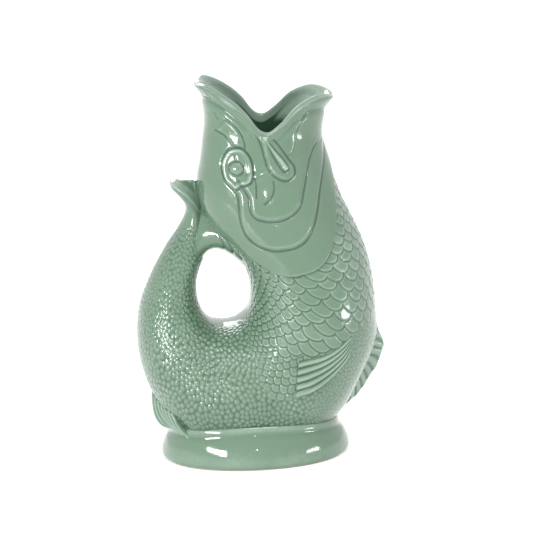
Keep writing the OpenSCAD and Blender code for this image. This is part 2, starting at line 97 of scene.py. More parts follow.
# Degrees round from the inner edge to the corner of the mouth, and the lip's rolled profile from its
# outer side over and in, as shares of its width across the wall and of its height
MOUTH_CORNER_ANGLE = 92
LIP_PROFILE = (
    (0.5, 0.28), (0.46, 0.62), (0.30, 0.82), (0.12, 0.86), (-0.08, 0.99), (-0.28, 0.80), (-0.40, 0.40))
# Pooling of the glaze at places over the lip, from its outer side (0) in (1), with a painted highlight
# along the crest and painted light down the inner side, where values below 0 give the pale inside
# colour
LIP_POOLING_AND_PAINTED_LIGHT = (
    (0, 0.5), (0.1, 0.52), (0.25, 0.22), (0.42, 0.34), (0.56, 0.05), (0.7, 0.25), (0.82, 0.1),
    (0.98, -0.6))
# Stations where the trunk's pieces meet, where the tail's hollow ends and where the fin's rays start
WAIST, RUMP, TAIL_ROOT, HOLLOW_END, RAYS = 13.0, 16.0, 19.0, 24.6, 25.4

# Lines on the head, in the side view, as shares of the jug's length and height
LOWER_BROW_SHARES = ((-0.118, 0.882), (-0.091, 0.874), (-0.069, 0.860), (-0.053, 0.844))
UPPER_BROW_SHARES = (
    (-0.080, 0.914), (-0.049, 0.900), (-0.025, 0.881), (-0.009, 0.859), (-0.005, 0.834))
FAINT_BROW_SHARES = ((-0.121, 0.928), (-0.108, 0.912))
EYE_SHARES = (
    (-0.053, 0.841), (-0.027, 0.841), (-0.006, 0.833), (0.013, 0.816), (0.023, 0.795),
    (0.024, 0.773), (0.017, 0.754), (-0.003, 0.745), (-0.026, 0.741), (-0.049, 0.733),
    (-0.067, 0.740), (-0.091, 0.757), (-0.101, 0.779), (-0.102, 0.801), (-0.086, 0.824),
    (-0.070, 0.836), (-0.053, 0.841))
INNER_PLATE_SHARES = (
    (-0.039, 0.768), (-0.034, 0.751), (-0.015, 0.732), (0.000, 0.712), (0.002, 0.691),
    (0.009, 0.672), (0.028, 0.659), (0.058, 0.652), (0.093, 0.649), (0.125, 0.651), (0.161, 0.659),
    (0.189, 0.672), (0.208, 0.691), (0.218, 0.717), (0.228, 0.741), (0.239, 0.769), (0.250, 0.794),
    (0.264, 0.814), (0.285, 0.832))
OUTER_PLATE_SHARES = (
    (-0.067, 0.740), (-0.045, 0.719), (-0.041, 0.691), (-0.040, 0.668), (-0.035, 0.645),
    (-0.022, 0.620), (0.000, 0.601), (0.028, 0.588), (0.062, 0.580), (0.096, 0.576), (0.131, 0.577),
    (0.167, 0.580), (0.200, 0.589), (0.225, 0.601), (0.247, 0.622), (0.264, 0.647), (0.277, 0.679),
    (0.285, 0.706), (0.295, 0.734), (0.308, 0.766), (0.318, 0.796), (0.324, 0.840))
CHEEK_CREASE_SHARES = ((0.024, 0.773), (0.031, 0.747), (0.031, 0.713))
SHORT_CREASE_SHARES = ((0.100, 0.752), (0.102, 0.737), (0.095, 0.719), (0.076, 0.704), (0.061, 0.696))
LIP_RIDGE_SHARES = ((0.059, 0.873), (0.087, 0.847), (0.114, 0.822), (0.137, 0.802), (0.153, 0.785))
JAW_FOLD_SHARES = (
    (-0.163, 0.964), (-0.119, 0.964), (-0.086, 0.956), (-0.047, 0.940), (-0.014, 0.917),
    (0.019, 0.889), (0.047, 0.862), (0.062, 0.835), (0.072, 0.808), (0.082, 0.786), (0.104, 0.765),
    (0.139, 0.752), (0.168, 0.753), (0.187, 0.766), (0.186, 0.785), (0.172, 0.800), (0.158, 0.814))
JAW_RETURN_SHARES = ((0.125, 0.848), (0.075, 0.888), (0.025, 0.924), (-0.050, 0.972), (-0.125, 1.000))
JAW_DROP_SHARES = (
    (0.073, 0.859), (0.089, 0.838), (0.102, 0.819), (0.121, 0.796), (0.140, 0.776), (0.155, 0.775),
    (0.160, 0.784), (0.143, 0.806), (0.115, 0.829), (0.090, 0.851))
MOUTH_CORNER_SHARES = ((0.083, 0.881), (0.111, 0.858), (0.139, 0.834), (0.160, 0.814))
LOWER_LIP_SHARES = (
    (0.161, 0.814), (0.179, 0.820), (0.191, 0.836), (0.197, 0.855), (0.210, 0.880), (0.236, 0.905),
    (0.270, 0.927))
PUPIL_SHARE, PUPIL_RADIUS_SHARE = (-0.042, 0.788), 0.0275
PUPIL_LINE_SHARES = ((-0.042, 0.806), (-0.045, 0.820))
# The carved ones, and how deep each is
CARVED_LINES = (
    (LOWER_BROW_SHARES, 0.9), (UPPER_BROW_SHARES, 0.8), (FAINT_BROW_SHARES, 0.4), (EYE_SHARES, 1.0),
    (INNER_PLATE_SHARES, 0.85), (OUTER_PLATE_SHARES, 0.9), (CHEEK_CREASE_SHARES, 0.7),
    (SHORT_CREASE_SHARES, 0.6), (JAW_FOLD_SHARES, 0.85), (JAW_DROP_SHARES, 0.85),
    (MOUTH_CORNER_SHARES, 0.7), (LOWER_LIP_SHARES, 0.45), (PUPIL_LINE_SHARES, 0.6))
# Heights between which the cheek's terraces fade out, as shares of the jug's height
PLATE_FADE_SHARES = (0.68, 0.80)

# Columns of large scales from the finger hole (0) round to the breast (1), at every tenth of the way
SCALE_COLUMNS = (0, 3.0, 5.5, 7.5, 9.05, 10.25, 11.25, 12.3, 13.55, 15.1, 16.9)
# Stations where the large scales end and where the middling ones end, at places round the flank, with
# how many rows of each there are to a station, and how many columns of the middling ones
LARGE_END_SHARES = (
    (0.0, 12.6), (0.12, 12.6), (0.3, 13.1), (0.4, 12.8), (0.47, 12.4), (0.55, 11.8), (0.59, 11.4),
    (0.66, 10.7), (0.8, 10.3), (0.9, 10.0), (1.0, 9.8))
MIDDLE_END_SHARES = (
    (0.0, 13.0), (0.2, 13.6), (0.35, 14.2), (0.5, 14.5), (0.56, 13.8), (0.62, 11.2), (0.66, 10.7),
    (0.8, 10.3), (1.0, 9.8))
LARGE_ROWS, MIDDLE_ROWS, MIDDLE_COLUMNS = 2.9, 3.9, 27

# The breast fin's outer edge and the pectoral fin's two edges, as shares of length and height
FIN_EDGE_SHARES = (
    (0.512, 0.338), (0.521, 0.310), (0.540, 0.277), (0.532, 0.256), (0.508, 0.216), (0.478, 0.190),
    (0.453, 0.164), (0.418, 0.138), (0.372, 0.115), (0.344, 0.098))
PECTORAL_TOP_SHARES = (
    (0.390, 0.344), (0.356, 0.329), (0.318, 0.314), (0.264, 0.300), (0.196, 0.292), (0.171, 0.288))
PECTORAL_LOW_SHARES = (
    (0.388, 0.318), (0.366, 0.282), (0.330, 0.254), (0.286, 0.228), (0.225, 0.202), (0.150, 0.189))
# The rear fin's line: angle round the foot in degrees, and height above the foot's edge as a share
REAR_LINE_SHARES = ((176, 1.0), (171, 0.88), (164, 0.68), (156, 0.57), (148, 0.50))
# The foot's profile: place from the belly (0) to the oval (1), height from the band (0) to the belly's
# edge (1), and pooling, darkest in the crease where the foot meets the belly, partly glaze pooled there
# and partly painted shade
FOOT_PROFILE = (
    (0.0, 0.93, 0.9), (0.02, 1.03, 0.62), (0.14, 1.07, 0.32), (0.26, 1.04, 0.24), (0.34, 0.96, 0.28),
    (0.38, 0.87, 0.56), (0.45, 0.80, 0.58), (0.56, 0.73, 0.52), (0.68, 0.65, 0.48), (0.79, 0.55, 0.44),
    (0.88, 0.44, 0.40), (0.95, 0.33, 0.36), (0.99, 0.23, 0.33), (1.0, 0.14, 0.32), (0.97, 0.07, 0.36),
    (0.88, 0.015, 0.5), (0.66, 0.0, 0.7), (0.5, 0.0, 0.6), (0.3, 0.0, 0.6), (0.12, 0.05, 0.6),
    (0.0, 0.14, 0.6), (0.0, 0.5, 0.6))
# Stations between which the foot's top edge lies, and how deep in the skin a fin's hidden side lies
FOOT_SPAN = (10.5, 19.5)
SUNK = 0.8 * MM
# Depth of a small hollow in which the glaze pools fully
POOLING_DEPTH = 0.5 * MM
# How far the breast draws in to its keel, and the depths of the tail fin's rays and of the channel
# under the lip
KEEL_DEPTH, RAY_DEPTH, CHANNEL_DEPTH = 2.4 * MM, 0.3 * MM, 0.9 * MM

# Each glaze: the tone of its colours, how strongly it mottles, the height of its waves and its coat.
# The fins' higher tone is painted light: a lighter copy of the glaze for fins that lie in shade
GLAZES = {
    "scaled_glaze": (1.0, 0.42, 0.00012, 0.5),
    "head_glaze": (0.97, 0.22, 0.00010, 0.5),
    "fin_glaze": (1.06, 0.30, 0.00010, 0.5),
    "foot_glaze": (1.0, 0.24, 0.00012, 0.55),
}
# Painted light: a pale colour laid on the walls inside the mouth, under the lip
INSIDE_PAINTED_LIGHT = (0.52, 0.68, 0.57, 1)

# The studio's lamps: name, azimuth and elevation in degrees, width and height, and power in watts
SOFT_BOXES = (
    ("left_soft_box", -41, 6, (0.46, 0.18), 6.6),
    ("right_soft_box", 62, -2.4, (0.42, 0.08), 1.6),
    ("small_soft_box", 1, 15, (0.028, 0.028), 0.10),
    ("top_soft_box", 8, 57, (0.50, 0.50), 4.6),
    ("back_soft_box", 190, 28, (0.60, 0.60), 3.2),
)
LAMP_DISTANCE, FLOOR_HALF = 1.3, 3.0
MIDDLE_OF_JUG = (0, 0, 0.11)
# The photograph's camera: its place, the place that it looks at, its lens in millimetres and its roll
CAMERA_PLACE, CAMERA_TARGET = (-0.13634, -2.91796, 0.80349), (0.016517, -0.00123, 0.11845)
CAMERA_LENS, CAMERA_ROLL = 302.9, math.radians(2.2)


def length(name, description, default):
    """A length that a user may change, in metres."""
    return bpy.props.FloatProperty(name=name, description=description, default=default, min=0.0,
                                   precision=4, subtype="DISTANCE", unit="LENGTH")


def colour(name, description, default):
    """A colour that a user may change."""
    return bpy.props.FloatVectorProperty(name=name, description=description, default=default, size=3,
                                         min=0.0, max=1.0, subtype="COLOR")


class JugSizes(bpy.types.PropertyGroup):
    """The jug's sizes, as in the part's source, and the depths of what is carved on it."""

    jug_l: length("Length", "Back of the tail to the breast fin", 0.160)
    jug_w: length("Width", "Across both flanks", 0.104)
    jug_h: length("Height", "Table to the tip of the upper jaw", 0.250)
    wall: length("Wall", "Thickness of the cast wall", 0.0045)
    lip_w: length("Lip width", "Width of the rolled lip", 0.0066)
    lip_h: length("Lip height", "Height of the rolled lip above the wall", 0.0048)
    gill_lift: length("Gill lift", "Height of the gill cover's edge above the trunk", 0.0015)
    plate_lift: length("Cheek lift", "Height of each terrace of the cheek", 0.00126)
    eye_lift: length("Eye lift", "Height of the eye above the head", 0.0016)
    jaw_lift: length("Jaw lift", "Height of the fold along the upper jaw", 0.0011)
    carving: length("Carving", "Depth of the lines carved on the head", 0.0005)
    scale_lift: length("Scale lift", "How far a large scale's free edge stands up", 0.00042)
    scale_groove: length("Scale groove", "Depth of the groove round a large scale", 0.00042)
    pebble: length("Pebble", "Spacing of the small pebble-like scales", 0.0026)
    pebble_lift: length("Pebble lift", "Height of a pebble", 0.00030)
    foot_end_h: length("Foot end height", "Height of the foot at the tail and the breast", 0.022)
    foot_flank_h: length("Foot flank height", "Height of the foot at the flanks", 0.026)
    end_flare: length("Foot end flare", "Spread of the foot beyond the belly, at its ends", 0.0094)
    side_flare: length("Foot side flare", "Spread of the foot beyond the belly, at the flanks", 0.0086)
    band_t: length("Band", "Thickness of the unglazed band under the foot", 0.0008)
    breast_fin_t: length("Breast fin", "Thickness of the breast fin at its root", 0.006)
    rib_lift: length("Rib lift", "Height of the ribs on the breast fin", 0.0009)
    pectoral_lift: length("Pectoral lift", "Height of the ridges on a pectoral fin", 0.0020)
    rear_fin_h: length("Rear fin", "Height of a rear fin above the foot", 0.021)
    rear_lobe: length("Rear lobe", "How far a rear fin's lobe stands off the body", 0.006)


class JugColours(bpy.types.PropertyGroup):
    """Colours of the glaze, the bare clay and the studio, as linear values."""

    body: colour("Glaze", "The glaze where it lies evenly", (0.180, 0.302, 0.203))
    # The pooled colour also paints shade, and the thin colour also paints light, where the pooling
    # attribute calls for them
    pooled_and_painted_shade: colour("Pooled glaze", "The glaze where it has run thick", (0.068, 0.145, 0.090))
    thin_and_painted_light: colour("Thin glaze", "The glaze where it has drawn off a raised edge", (0.390, 0.530, 0.435))
    clay: colour("Bare clay", "The unglazed band under the foot", (0.62, 0.55, 0.44))
    floor: colour("Floor", "The studio floor", (0.93, 0.93, 0.93))


def spline(table, place):
    """Values of a smooth curve through the rows of a table, at places counted in rows."""
    table = np.asarray(table, float)
    last = len(table) - 1
    k = np.clip(np.floor(place).astype(int), 0, last - 1)
    f = np.reshape(place - k, np.shape(place) + (1,) * (table.ndim - 1))
    a, b, c, d = (table[np.clip(k + i, 0, last)] for i in (-1, 0, 1, 2))
    return b + f * (c - a + f * (2 * a - 5 * b + 4 * c - d + f * (3 * b - a - 3 * c + d))) / 2


def through(controls, way):
    """A smooth curve through control points, or through rows of them, at shares of the whole way."""
    return spline(controls, way * (len(controls) - 1))


def ease(t, start=0.0, width=1.0):
    """A smooth step from 0 to 1 over a width that begins at the start."""
    t = np.clip((t - start) / width, 0.0, 1.0)
    return t * t * (3 - 2 * t)


def mix(a, b, t):
    """A value from a (t is 0) to b (t is 1)."""
    return a + (b - a) * t


def bump(t, width):
    """A rounded ridge, 1 where t is 0."""
    return np.exp(-(t / width) ** 2)


def from_table(pairs, x):
    """A value by straight lines between (place, value) pairs."""
    places, values = zip(*pairs)
    return np.interp(x, places, values)


def by_angle(table, angle):
    """A value from a table with one entry every 15 degrees, the same on both flanks."""
    folded = np.pi - np.abs(np.mod(angle, 2 * np.pi) - np.pi)
    return spline(table, folded / TABLE_STEP)


def side_view(size, table):
    """Places of the side view, from a table of shares of the jug's length and height."""
    return np.array(table) * (size.jug_l, size.jug_h)


def turning(past, low, high, times=24):
    """The last places from low to high before a test of them turns true, found by halving."""
    for _ in range(times):
        m = (low + high) / 2
        beyond = past(m)
        low, high = np.where(beyond, low, m), np.where(beyond, m, high)
    return low


class Body:
    """The bent tube that the whole jug is carved on."""

    def __init__(self, size):
        share = (size.jug_l, size.jug_h, size.jug_l, size.jug_h, size.jug_w, 1, 1)
        self.table = np.array(BODY_SHARES) * share

    def section(self, station):
        """The table's values at stations, the middle between the edges, and half the line across."""
        c = spline(self.table, station)
        return c, (c[..., 0:2] + c[..., 2:4]) / 2, (c[..., 0:2] - c[..., 2:4]) / 2

    def skin(self, station, angle, out=0.0):
        """Points at stations and at angles from the inner edge round the right flank."""
        c, middle, reach = self.section(station)
        cosine, sine = np.cos(angle), np.sin(angle)
        k = 2 / np.where(cosine > 0, c[..., 5], c[..., 6])
        q = np.sign(cosine) * np.abs(cosine) ** k * (1 + out / np.linalg.norm(reach, axis=-1))
        y = np.sign(sine) * np.abs(sine) ** k * (c[..., 4] + out)
        flat = middle + reach * q[..., None]
        return np.stack([flat[..., 0], -y, flat[..., 1]], -1)

    def behind(self, x, z, ends):
        """The station and angle of the right flank behind places of the side view."""
        def side(station):
            c = spline(self.table, station)
            return (c[..., 2] - c[..., 0]) * (z - c[..., 1]) - (c[..., 3] - c[..., 1]) * (x - c[..., 0])

        low, high = (np.full(x.shape, end) for end in ends)
        start = np.sign(side(low))
        station = turning(lambda m: side(m) * start <= 0, low, high)
        c, middle, reach = self.section(station)
        q = ((np.stack([x, z], -1) - middle) * reach).sum(-1) / (reach * reach).sum(-1)
        power = np.where(q > 0, c[..., 5], c[..., 6]) / 2
        return station, np.arccos(np.sign(q) * np.minimum(1, np.abs(q)) ** power)


def normals_of(points, ring=False):
    """Outward unit normals of a grid of closed rows, which in a ring also close on each other."""
    def across(axis):
        return np.roll(points, -1, axis=axis) - np.roll(points, 1, axis=axis)

    n = np.cross(across(0) if ring else np.gradient(points, axis=0), across(1))
    n /= np.maximum(np.linalg.norm(n, axis=-1, keepdims=True), 1e-12)
    # A ring's inner rows face its middle, so one of its outer rows tells which way is out
    rows = slice(len(points) // 3, len(points) // 3 + 1) if ring else slice(None)
    outward = ((points - points.mean(axis=1, keepdims=True)) * n)[rows].sum()
    return n if outward > 0 else -n


def with_pooling(pool_and_painted_light, height):
    """The glaze's pooling with what the shape gathers in its hollows and thins on its edges."""
    soft = height
    for _ in range(8):
        soft = (np.roll(soft, 1, axis=1) + 2 * soft + np.roll(soft, -1, axis=1)) / 4
        padded = np.concatenate([soft[:1], soft, soft[-1:]])
        soft = (padded[:-2] + 2 * padded[1:-1] + padded[2:]) / 4
    hollow = np.clip(0.5 + (soft - height) / POOLING_DEPTH / 2, 0, 1)
    return np.clip(pool_and_painted_light + hollow - 0.5, 0, 1)


def grid_faces(rows, columns, closed):
    """Quads between neighbouring rows of points, each row closed on itself."""
    i = np.arange(rows if closed else rows - 1)[:, None]
    j = np.arange(columns)[None, :]
    k, m = (i + 1) % rows, (j + 1) % columns
    quads = np.stack([i * columns + j, i * columns + m, k * columns + m, k * columns + j], -1)
    return quads.reshape(-1, 4)


def fan_faces(columns, row, centre, back):
    """Triangles from a row of points to the point that closes it."""
    a = row * columns + np.arange(columns)
    b, c = np.roll(a, -1), np.full(columns, centre)
    return np.stack([a, b, c] if back else [b, a, c], -1)


def placed(name, data):
    """A new object at the origin of the scene."""
    made = bpy.data.objects.new(name, data)
    bpy.context.scene.collection.objects.link(made)
    return made


def mesh_object(name, points, quads, triangles, pool_and_painted_light, normals):
    """A smooth mesh object with its glaze pooling and painted light and shade, its faces turned
    outwards.
    """
    points = np.asarray(points, np.float32)
    a, b, c, d = (points[quads[:, i]].astype(float) for i in range(4))
    if (a * np.cross(b, c) + a * np.cross(c, d)).sum() < 0:
        quads, triangles = quads[:, ::-1], triangles[:, ::-1]
    mesh = bpy.data.meshes.new(name)
    mesh.from_pydata(points, [], quads.tolist() + triangles.tolist())
    mesh.validate()
    mesh.shade_smooth()
    pooled_and_painted_shade = mesh.attributes.new("pool_and_painted_light", "FLOAT", "POINT")
    pooled_and_painted_shade.data.foreach_set("value", np.asarray(pool_and_painted_light, np.float32).ravel())
    if normals is not None:
        normals = np.asarray(normals, np.float32).reshape(-1, 3)
        mesh.normals_split_custom_set_from_vertices(normals.tolist())
    return placed(name, mesh)


def closed_piece(name, grid, pool_and_painted_light, normals):
    """A piece whose rows of points close in both directions, as a ring does."""
    quads = grid_faces(*grid.shape[:2], True)
    return mesh_object(name, grid.reshape(-1, 3), quads, np.zeros((0, 3), int), pool_and_painted_light, normals)


def ended_piece(name, grid, pool_and_painted_light, normals=None, ends=None):
    """A piece whose rows end in one point at each end, the middle of the last row if none is given."""
    def with_ends(values, ends=None):
        ends = ends or [values[0].mean(axis=0), values[-1].mean(axis=0)]
        return np.concatenate([values.reshape((-1,) + values.shape[2:]), ends])

    rows, columns = grid.shape[:2]
    count = rows * columns
    fans = fan_faces(columns, 0, count, False), fan_faces(columns, rows - 1, count + 1, True)
    normals = None if normals is None else with_ends(normals)
    return mesh_object(name, with_ends(grid, ends), grid_faces(rows, columns, False),
                       np.concatenate(fans), with_ends(pool_and_painted_light), normals)


def both_flanks(name, grid, pool_and_painted_light):
    """A piece on the right flank and its mirror image on the left."""
    return [ended_piece(f"{side}_{name}", grid * (1, flip, 1), pool_and_painted_light)
            for side, flip in (("right", 1), ("left", -1))]


def ring_angles(columns, closer=0.0):
    """Angles of a row's points from the inner edge round, perhaps closer together on the flanks."""
    turn = np.arange(columns) * 2 * np.pi / columns
    return turn + closer * np.sin(2 * turn)


def round_flank(angle):
    """How far round the flank an angle is: 0 at the inner edge and 1 at the outer edge."""
    return 1 - np.abs(np.mod(angle, 2 * np.pi) / np.pi - 1)


def scatter(i, j, seed):
    """A value from -1 to 1 that belongs to a scale by its column and row."""
    value = np.sin(i * 12.9898 + j * 78.233 + seed * 37.719) * 43758.5453
    return 2 * (value - np.floor(value)) - 1


def overlapping(u, w, column, row, shape, last_row, seed):
    """Scales in staggered rows, each over the next: lie, distance to an edge, where they are, and tone.

    u and w count columns and rows, column and row are their widths in metres, shape is the half width
    and length of a scale in columns and rows, and last_row gives the row where a column ends.
    """
    half_w, half_h = shape
    lie, edge = np.zeros(u.shape), np.ones(u.shape)
    covered, tone = np.zeros(u.shape, bool), np.zeros(u.shape)
    for dj in (-1, 0, 1):
        j = np.floor(w) + dj
        stagger = 0.5 * np.mod(j, 2)
        nearest, inner, beyond = np.full(u.shape, 9.0), np.ones(u.shape), np.ones(u.shape)
        inner_lie, inner_tone = np.zeros(u.shape), np.zeros(u.shape)
        for di in (-1, 0, 1):
            i = np.round(u - stagger) + di
            at_u = i + stagger + 0.07 * scatter(i, j, seed)
            at_w = j + 0.10 * scatter(i, j, seed + 1)
            there = at_w < last_row(at_u)
            x, y = u - at_u, w - at_w
            down = np.maximum(y, 0)
            r = np.hypot(x / half_w, down / half_h)
            slope = np.hypot(x / half_w ** 2 / column, down / half_h ** 2 / row) / np.maximum(r, 0.05)
            gap = np.abs(1 - r) / slope
            best = there & (r < 1) & (r < nearest)
            nearest = np.where(best, r, nearest)
            inner = np.where(best, gap, inner)
            inner_lie = np.where(best, np.clip((y + 1) / (1 + half_h), 0, 1), inner_lie)
            inner_tone = np.where(best, scatter(i, j, seed + 2), inner_tone)
            beyond = np.where(there & (r >= 1) & (y > -0.2), np.minimum(beyond, gap), beyond)
        fresh = (nearest < 1) & ~covered
        edge = np.where(covered, edge, np.minimum(edge, np.where(fresh, inner, beyond)))
        lie = np.where(fresh, inner_lie, lie)
        tone = np.where(fresh, inner_tone, tone)
        covered |= fresh
    return lie, edge, covered, tone


def scattered_seeds(points, spacing, seed):
    """Some of the points, none nearer to another than its own spacing."""
    order = np.random.default_rng(seed).permutation(len(points))
    cell = spacing.max()
    kept, cells = [], {}
    for k in order:
        p = points[k]
        key = tuple(np.floor(p / cell).astype(int))
        near = [q for a in (-1, 0, 1) for b in (-1, 0, 1) for c in (-1, 0, 1)
                for q in cells.get((key[0] + a, key[1] + b, key[2] + c), ())]
        if not near or ((points[near] - p) ** 2).sum(-1).min() > spacing[k] ** 2:
            kept.append(k)
            cells.setdefault(key, []).append(k)
    return points[kept]


def pebbled(points, which, spacing):
    """Grooves and domes of small rounded scales at the chosen points, the same on both flanks."""
    out_and_up = (np.ones(spacing.shape), -np.sign(points[..., 1]), np.full(spacing.shape, 0.85))
    fold = np.stack(out_and_up, -1)
    tailward = np.gradient(points, axis=0)
    tailward = (tailward / np.linalg.norm(tailward, axis=-1, keepdims=True) * fold)[which]
    chosen, wanted = (points * fold)[which], spacing[which]
    pick = np.arange(0, len(chosen), 3)
    seeds = scattered_seeds(chosen[pick], wanted[pick], 5)
    tree = kdtree.KDTree(len(seeds))
    for k, p in enumerate(seeds):
        tree.insert(p, k)
    tree.balance()
    found = [tree.find_n(p, 2) for p in chosen.tolist()]
    first, second = (np.array([pair[n][2] for pair in found]) for n in (0, 1))
    down = ((chosen - seeds[[pair[0][1] for pair in found]]) * tailward).sum(-1) / wanted
    groove, dome = np.zeros(spacing.shape), np.zeros(spacing.shape)
    between = bump(second - first, 0.68 * MM) * mix(0.12, 1.0, ease(down / 0.6 + 0.25))
    groove[which] = np.clip(between + 0.3 * ease((first / wanted - 0.58) / 0.2), 0, 1)
    dome[which] = 1 - np.clip(first / wanted / 0.66, 0, 1) ** 2 + 0.45 * down
    return groove, dome


def foot_edge(size, x):
    """Height of the foot's top edge at a place along the jug."""
    tail_end, breast_end = foot_ends(size)
    middle, half = (tail_end + breast_end) / 2, (breast_end - tail_end) / 2
    return mix(size.foot_end_h, size.foot_flank_h, 1 - np.clip((x - middle) / half, -1, 1) ** 2)


def foot_ends(size):
    """Where the belly's outer edge reaches the foot's height, behind and before."""
    table, ends = Body(size).table, []
    for low, high, sign in ((16.0, 19.0, -1), (11.0, 15.0, 1)):
        station = turning(lambda m: (spline(table, m)[3] - size.foot_end_h) * sign <= 0, low, high, 30)
        ends.append(float(spline(table, station)[2]))
    return ends


def foot_line(size, turn):
    """The foot's top edge in the side view, at angles round the foot."""
    return (mix(*foot_ends(size), (1 + np.cos(turn)) / 2),
            mix(size.foot_end_h, size.foot_flank_h, np.sin(turn) ** 2))


def trunk_relief(size, station, angle, points):
    """Height and pooling of the trunk's scales, pebbled skin and smooth places, with painted shade and
    light.
    """
    v = round_flank(angle)
    along = np.linalg.norm(np.gradient(points, axis=0), axis=-1) / np.gradient(station, axis=0)
    turned = np.mod(np.roll(angle, -1, axis=1) - angle, 2 * np.pi) / np.pi
    across = np.linalg.norm(np.roll(points, -1, axis=1) - points, axis=-1) / turned
    rim = ease(v, 0.03, 0.06)
    gill = by_angle(GILL_SHARES, angle)

    # The large scales of the flank, and the middling ones behind them
    fine = np.linspace(0, 1, 201)
    columns = through(SCALE_COLUMNS, fine)
    u = np.interp(v, fine, columns)
    pitch = across / np.interp(v, fine, np.gradient(columns, fine))

    def last_large(at):
        return LARGE_ROWS * (from_table(LARGE_END_SHARES, np.interp(at, columns, fine)) - 0.2)

    def last_middle(at):
        return MIDDLE_ROWS * (from_table(MIDDLE_END_SHARES, np.clip(at / MIDDLE_COLUMNS, 0, 1)) - 0.15)

    lie, edge, large, tone = overlapping(
        u, station * LARGE_ROWS, pitch, along / LARGE_ROWS, (0.52, 1.12), last_large, 1)
    lie_2, edge_2, middle, tone_2 = overlapping(
        v * MIDDLE_COLUMNS, station * MIDDLE_ROWS, across / MIDDLE_COLUMNS, along / MIDDLE_ROWS,
        (0.53, 1.1), last_middle, 2)
    middle &= ~large
    scaled = large | middle
    edge = np.where(middle, np.minimum(edge, edge_2), edge)
    lie, tone = np.where(large, lie, lie_2), np.where(large, tone, tone_2)
    groove = bump(edge, np.where(large, 0.48, 0.42) * MM) * scaled
    lip = bump(edge - 1.1 * MM, 0.55 * MM) * scaled * (lie > 0.45)
    strength = np.where(large, 1.0, 0.8)
    height = scaled * strength * rim * (size.scale_lift * (lie - 0.4) - size.scale_groove * groove)

    # Small rounded scales elsewhere, finer under the pectoral fin, by the finger hole and up the tail
    under_fin = ease(v, 0.6, 0.06) * (1 - ease(station, 13.2, 0.8))
    up_tail = ease(station, 18.5, 2.5)
    spacing = size.pebble * (1 - 0.26 * under_fin) * (1 - 0.22 * up_tail) * mix(0.75, 1, ease(v / 0.22))
    bare = ~scaled & (station < RAYS)
    stone_groove, dome = pebbled(points, bare, spacing)
    calm = bare * rim * (1 - 0.45 * under_fin) * (1 - 0.25 * up_tail) * (1 - ease(station, 24.3, 0.9))
    height += calm * size.pebble_lift * (dome - 0.6 - 0.6 * stone_groove)

    # Dark rays on the tail fin
    rays = bump(np.mod(v * 12, 1) - 0.5, 0.12) * ease(station, RAYS, 0.9) * ease(v, 0.16, 0.1)
    height -= RAY_DEPTH * rays

    # The breast draws in to a keel under its fin
    keel = bump(v - 1, 0.13) * ease(station, 10.8, 1.2) * (1 - ease(station, 11.8, 1.2))
    height -= KEEL_DEPTH * keel

    pool_and_painted_light = 0.5 + rim * strength * (0.36 * groove - 0.14 * lip) + 0.05 * tone * scaled
    # The pebbles' grooves pool and their domes thin; the under_fin term is painted light, paler under
    # the pectoral fin
    pool_and_painted_light += calm * (0.31 * stone_groove - 0.12 * (dome - 0.4)) - 0.12 * under_fin
    pool_and_painted_light += 0.4 * rays
    # Painted shade on the trunk just under the gill cover's raised edge
    pool_and_painted_light += 0.32 * bump((station - gill) * along, 1.5 * MM)
    # Glaze pooled in the crease above the foot, with painted shade in a broader band over it
    above_foot = points[..., 2] - foot_edge(size, points[..., 0])
    pool_and_painted_light += 0.42 * bump(above_foot, 2.6 * MM) + 0.14 * bump(above_foot, 9 * MM)
    pool_and_painted_light -= 0.08 * (1 - rim) * (station > 9.5)
    return height, pool_and_painted_light


def trunk_rows(columns):
    """Stations and angles of the rows from the gill line to the fin's rim, and each piece's start."""
    angle = ring_angles(columns, 0.12)
    gill, rim = by_angle(GILL_SHARES, angle), by_angle(FIN_RIM_SHARES, angle)
    pieces = [[mix(gill, WAIST, t) for t in np.linspace(-0.008, 1, 172)[:-1]],
              [np.full(columns, s) for s in np.linspace(WAIST, RUMP, 111)[:-1]],
              [np.full(columns, s) for s in np.linspace(RUMP, TAIL_ROOT, 91)[:-1]],
              [mix(TAIL_ROOT, rim, t) for t in np.linspace(0, 1, 160)]]
    starts = np.cumsum([0] + [len(rows) for rows in pieces])
    return np.concatenate(pieces), np.broadcast_to(angle, (starts[-1], columns)), starts


def distance_to(line, x, z):
    """Distance in the side view from places to a line of points."""
    best = np.full(x.shape, 1.0)
    for (ax, az), (bx, bz) in zip(line[:-1], line[1:]):
        dx, dz = bx - ax, bz - az
        t = np.clip(((x - ax) * dx + (z - az) * dz) / max(dx * dx + dz * dz, 1e-12), 0, 1)
        best = np.minimum(best, np.hypot(x - ax - t * dx, z - az - t * dz))
    return best


def inside(line, x, z):
    """Whether places of the side view lie inside a line that is closed from its end to its start."""
    within = np.zeros(x.shape, bool)
    for (ax, az), (bx, bz) in zip(line, np.roll(line, -1, axis=0)):
        crosses = (az > z) != (bz > z)
        at = ax + (z - az) * (bx - ax) / (bz - az if abs(bz - az) > 1e-9 else 1e-9)
        within ^= crosses & (x < at)
    return within


def depth_inside(line, x, z):
    """How far inside a closed line places of the side view lie, and 0 outside it."""
    return np.where(inside(line, x, z), distance_to(np.vstack([line, line[:1]]), x, z), 0)


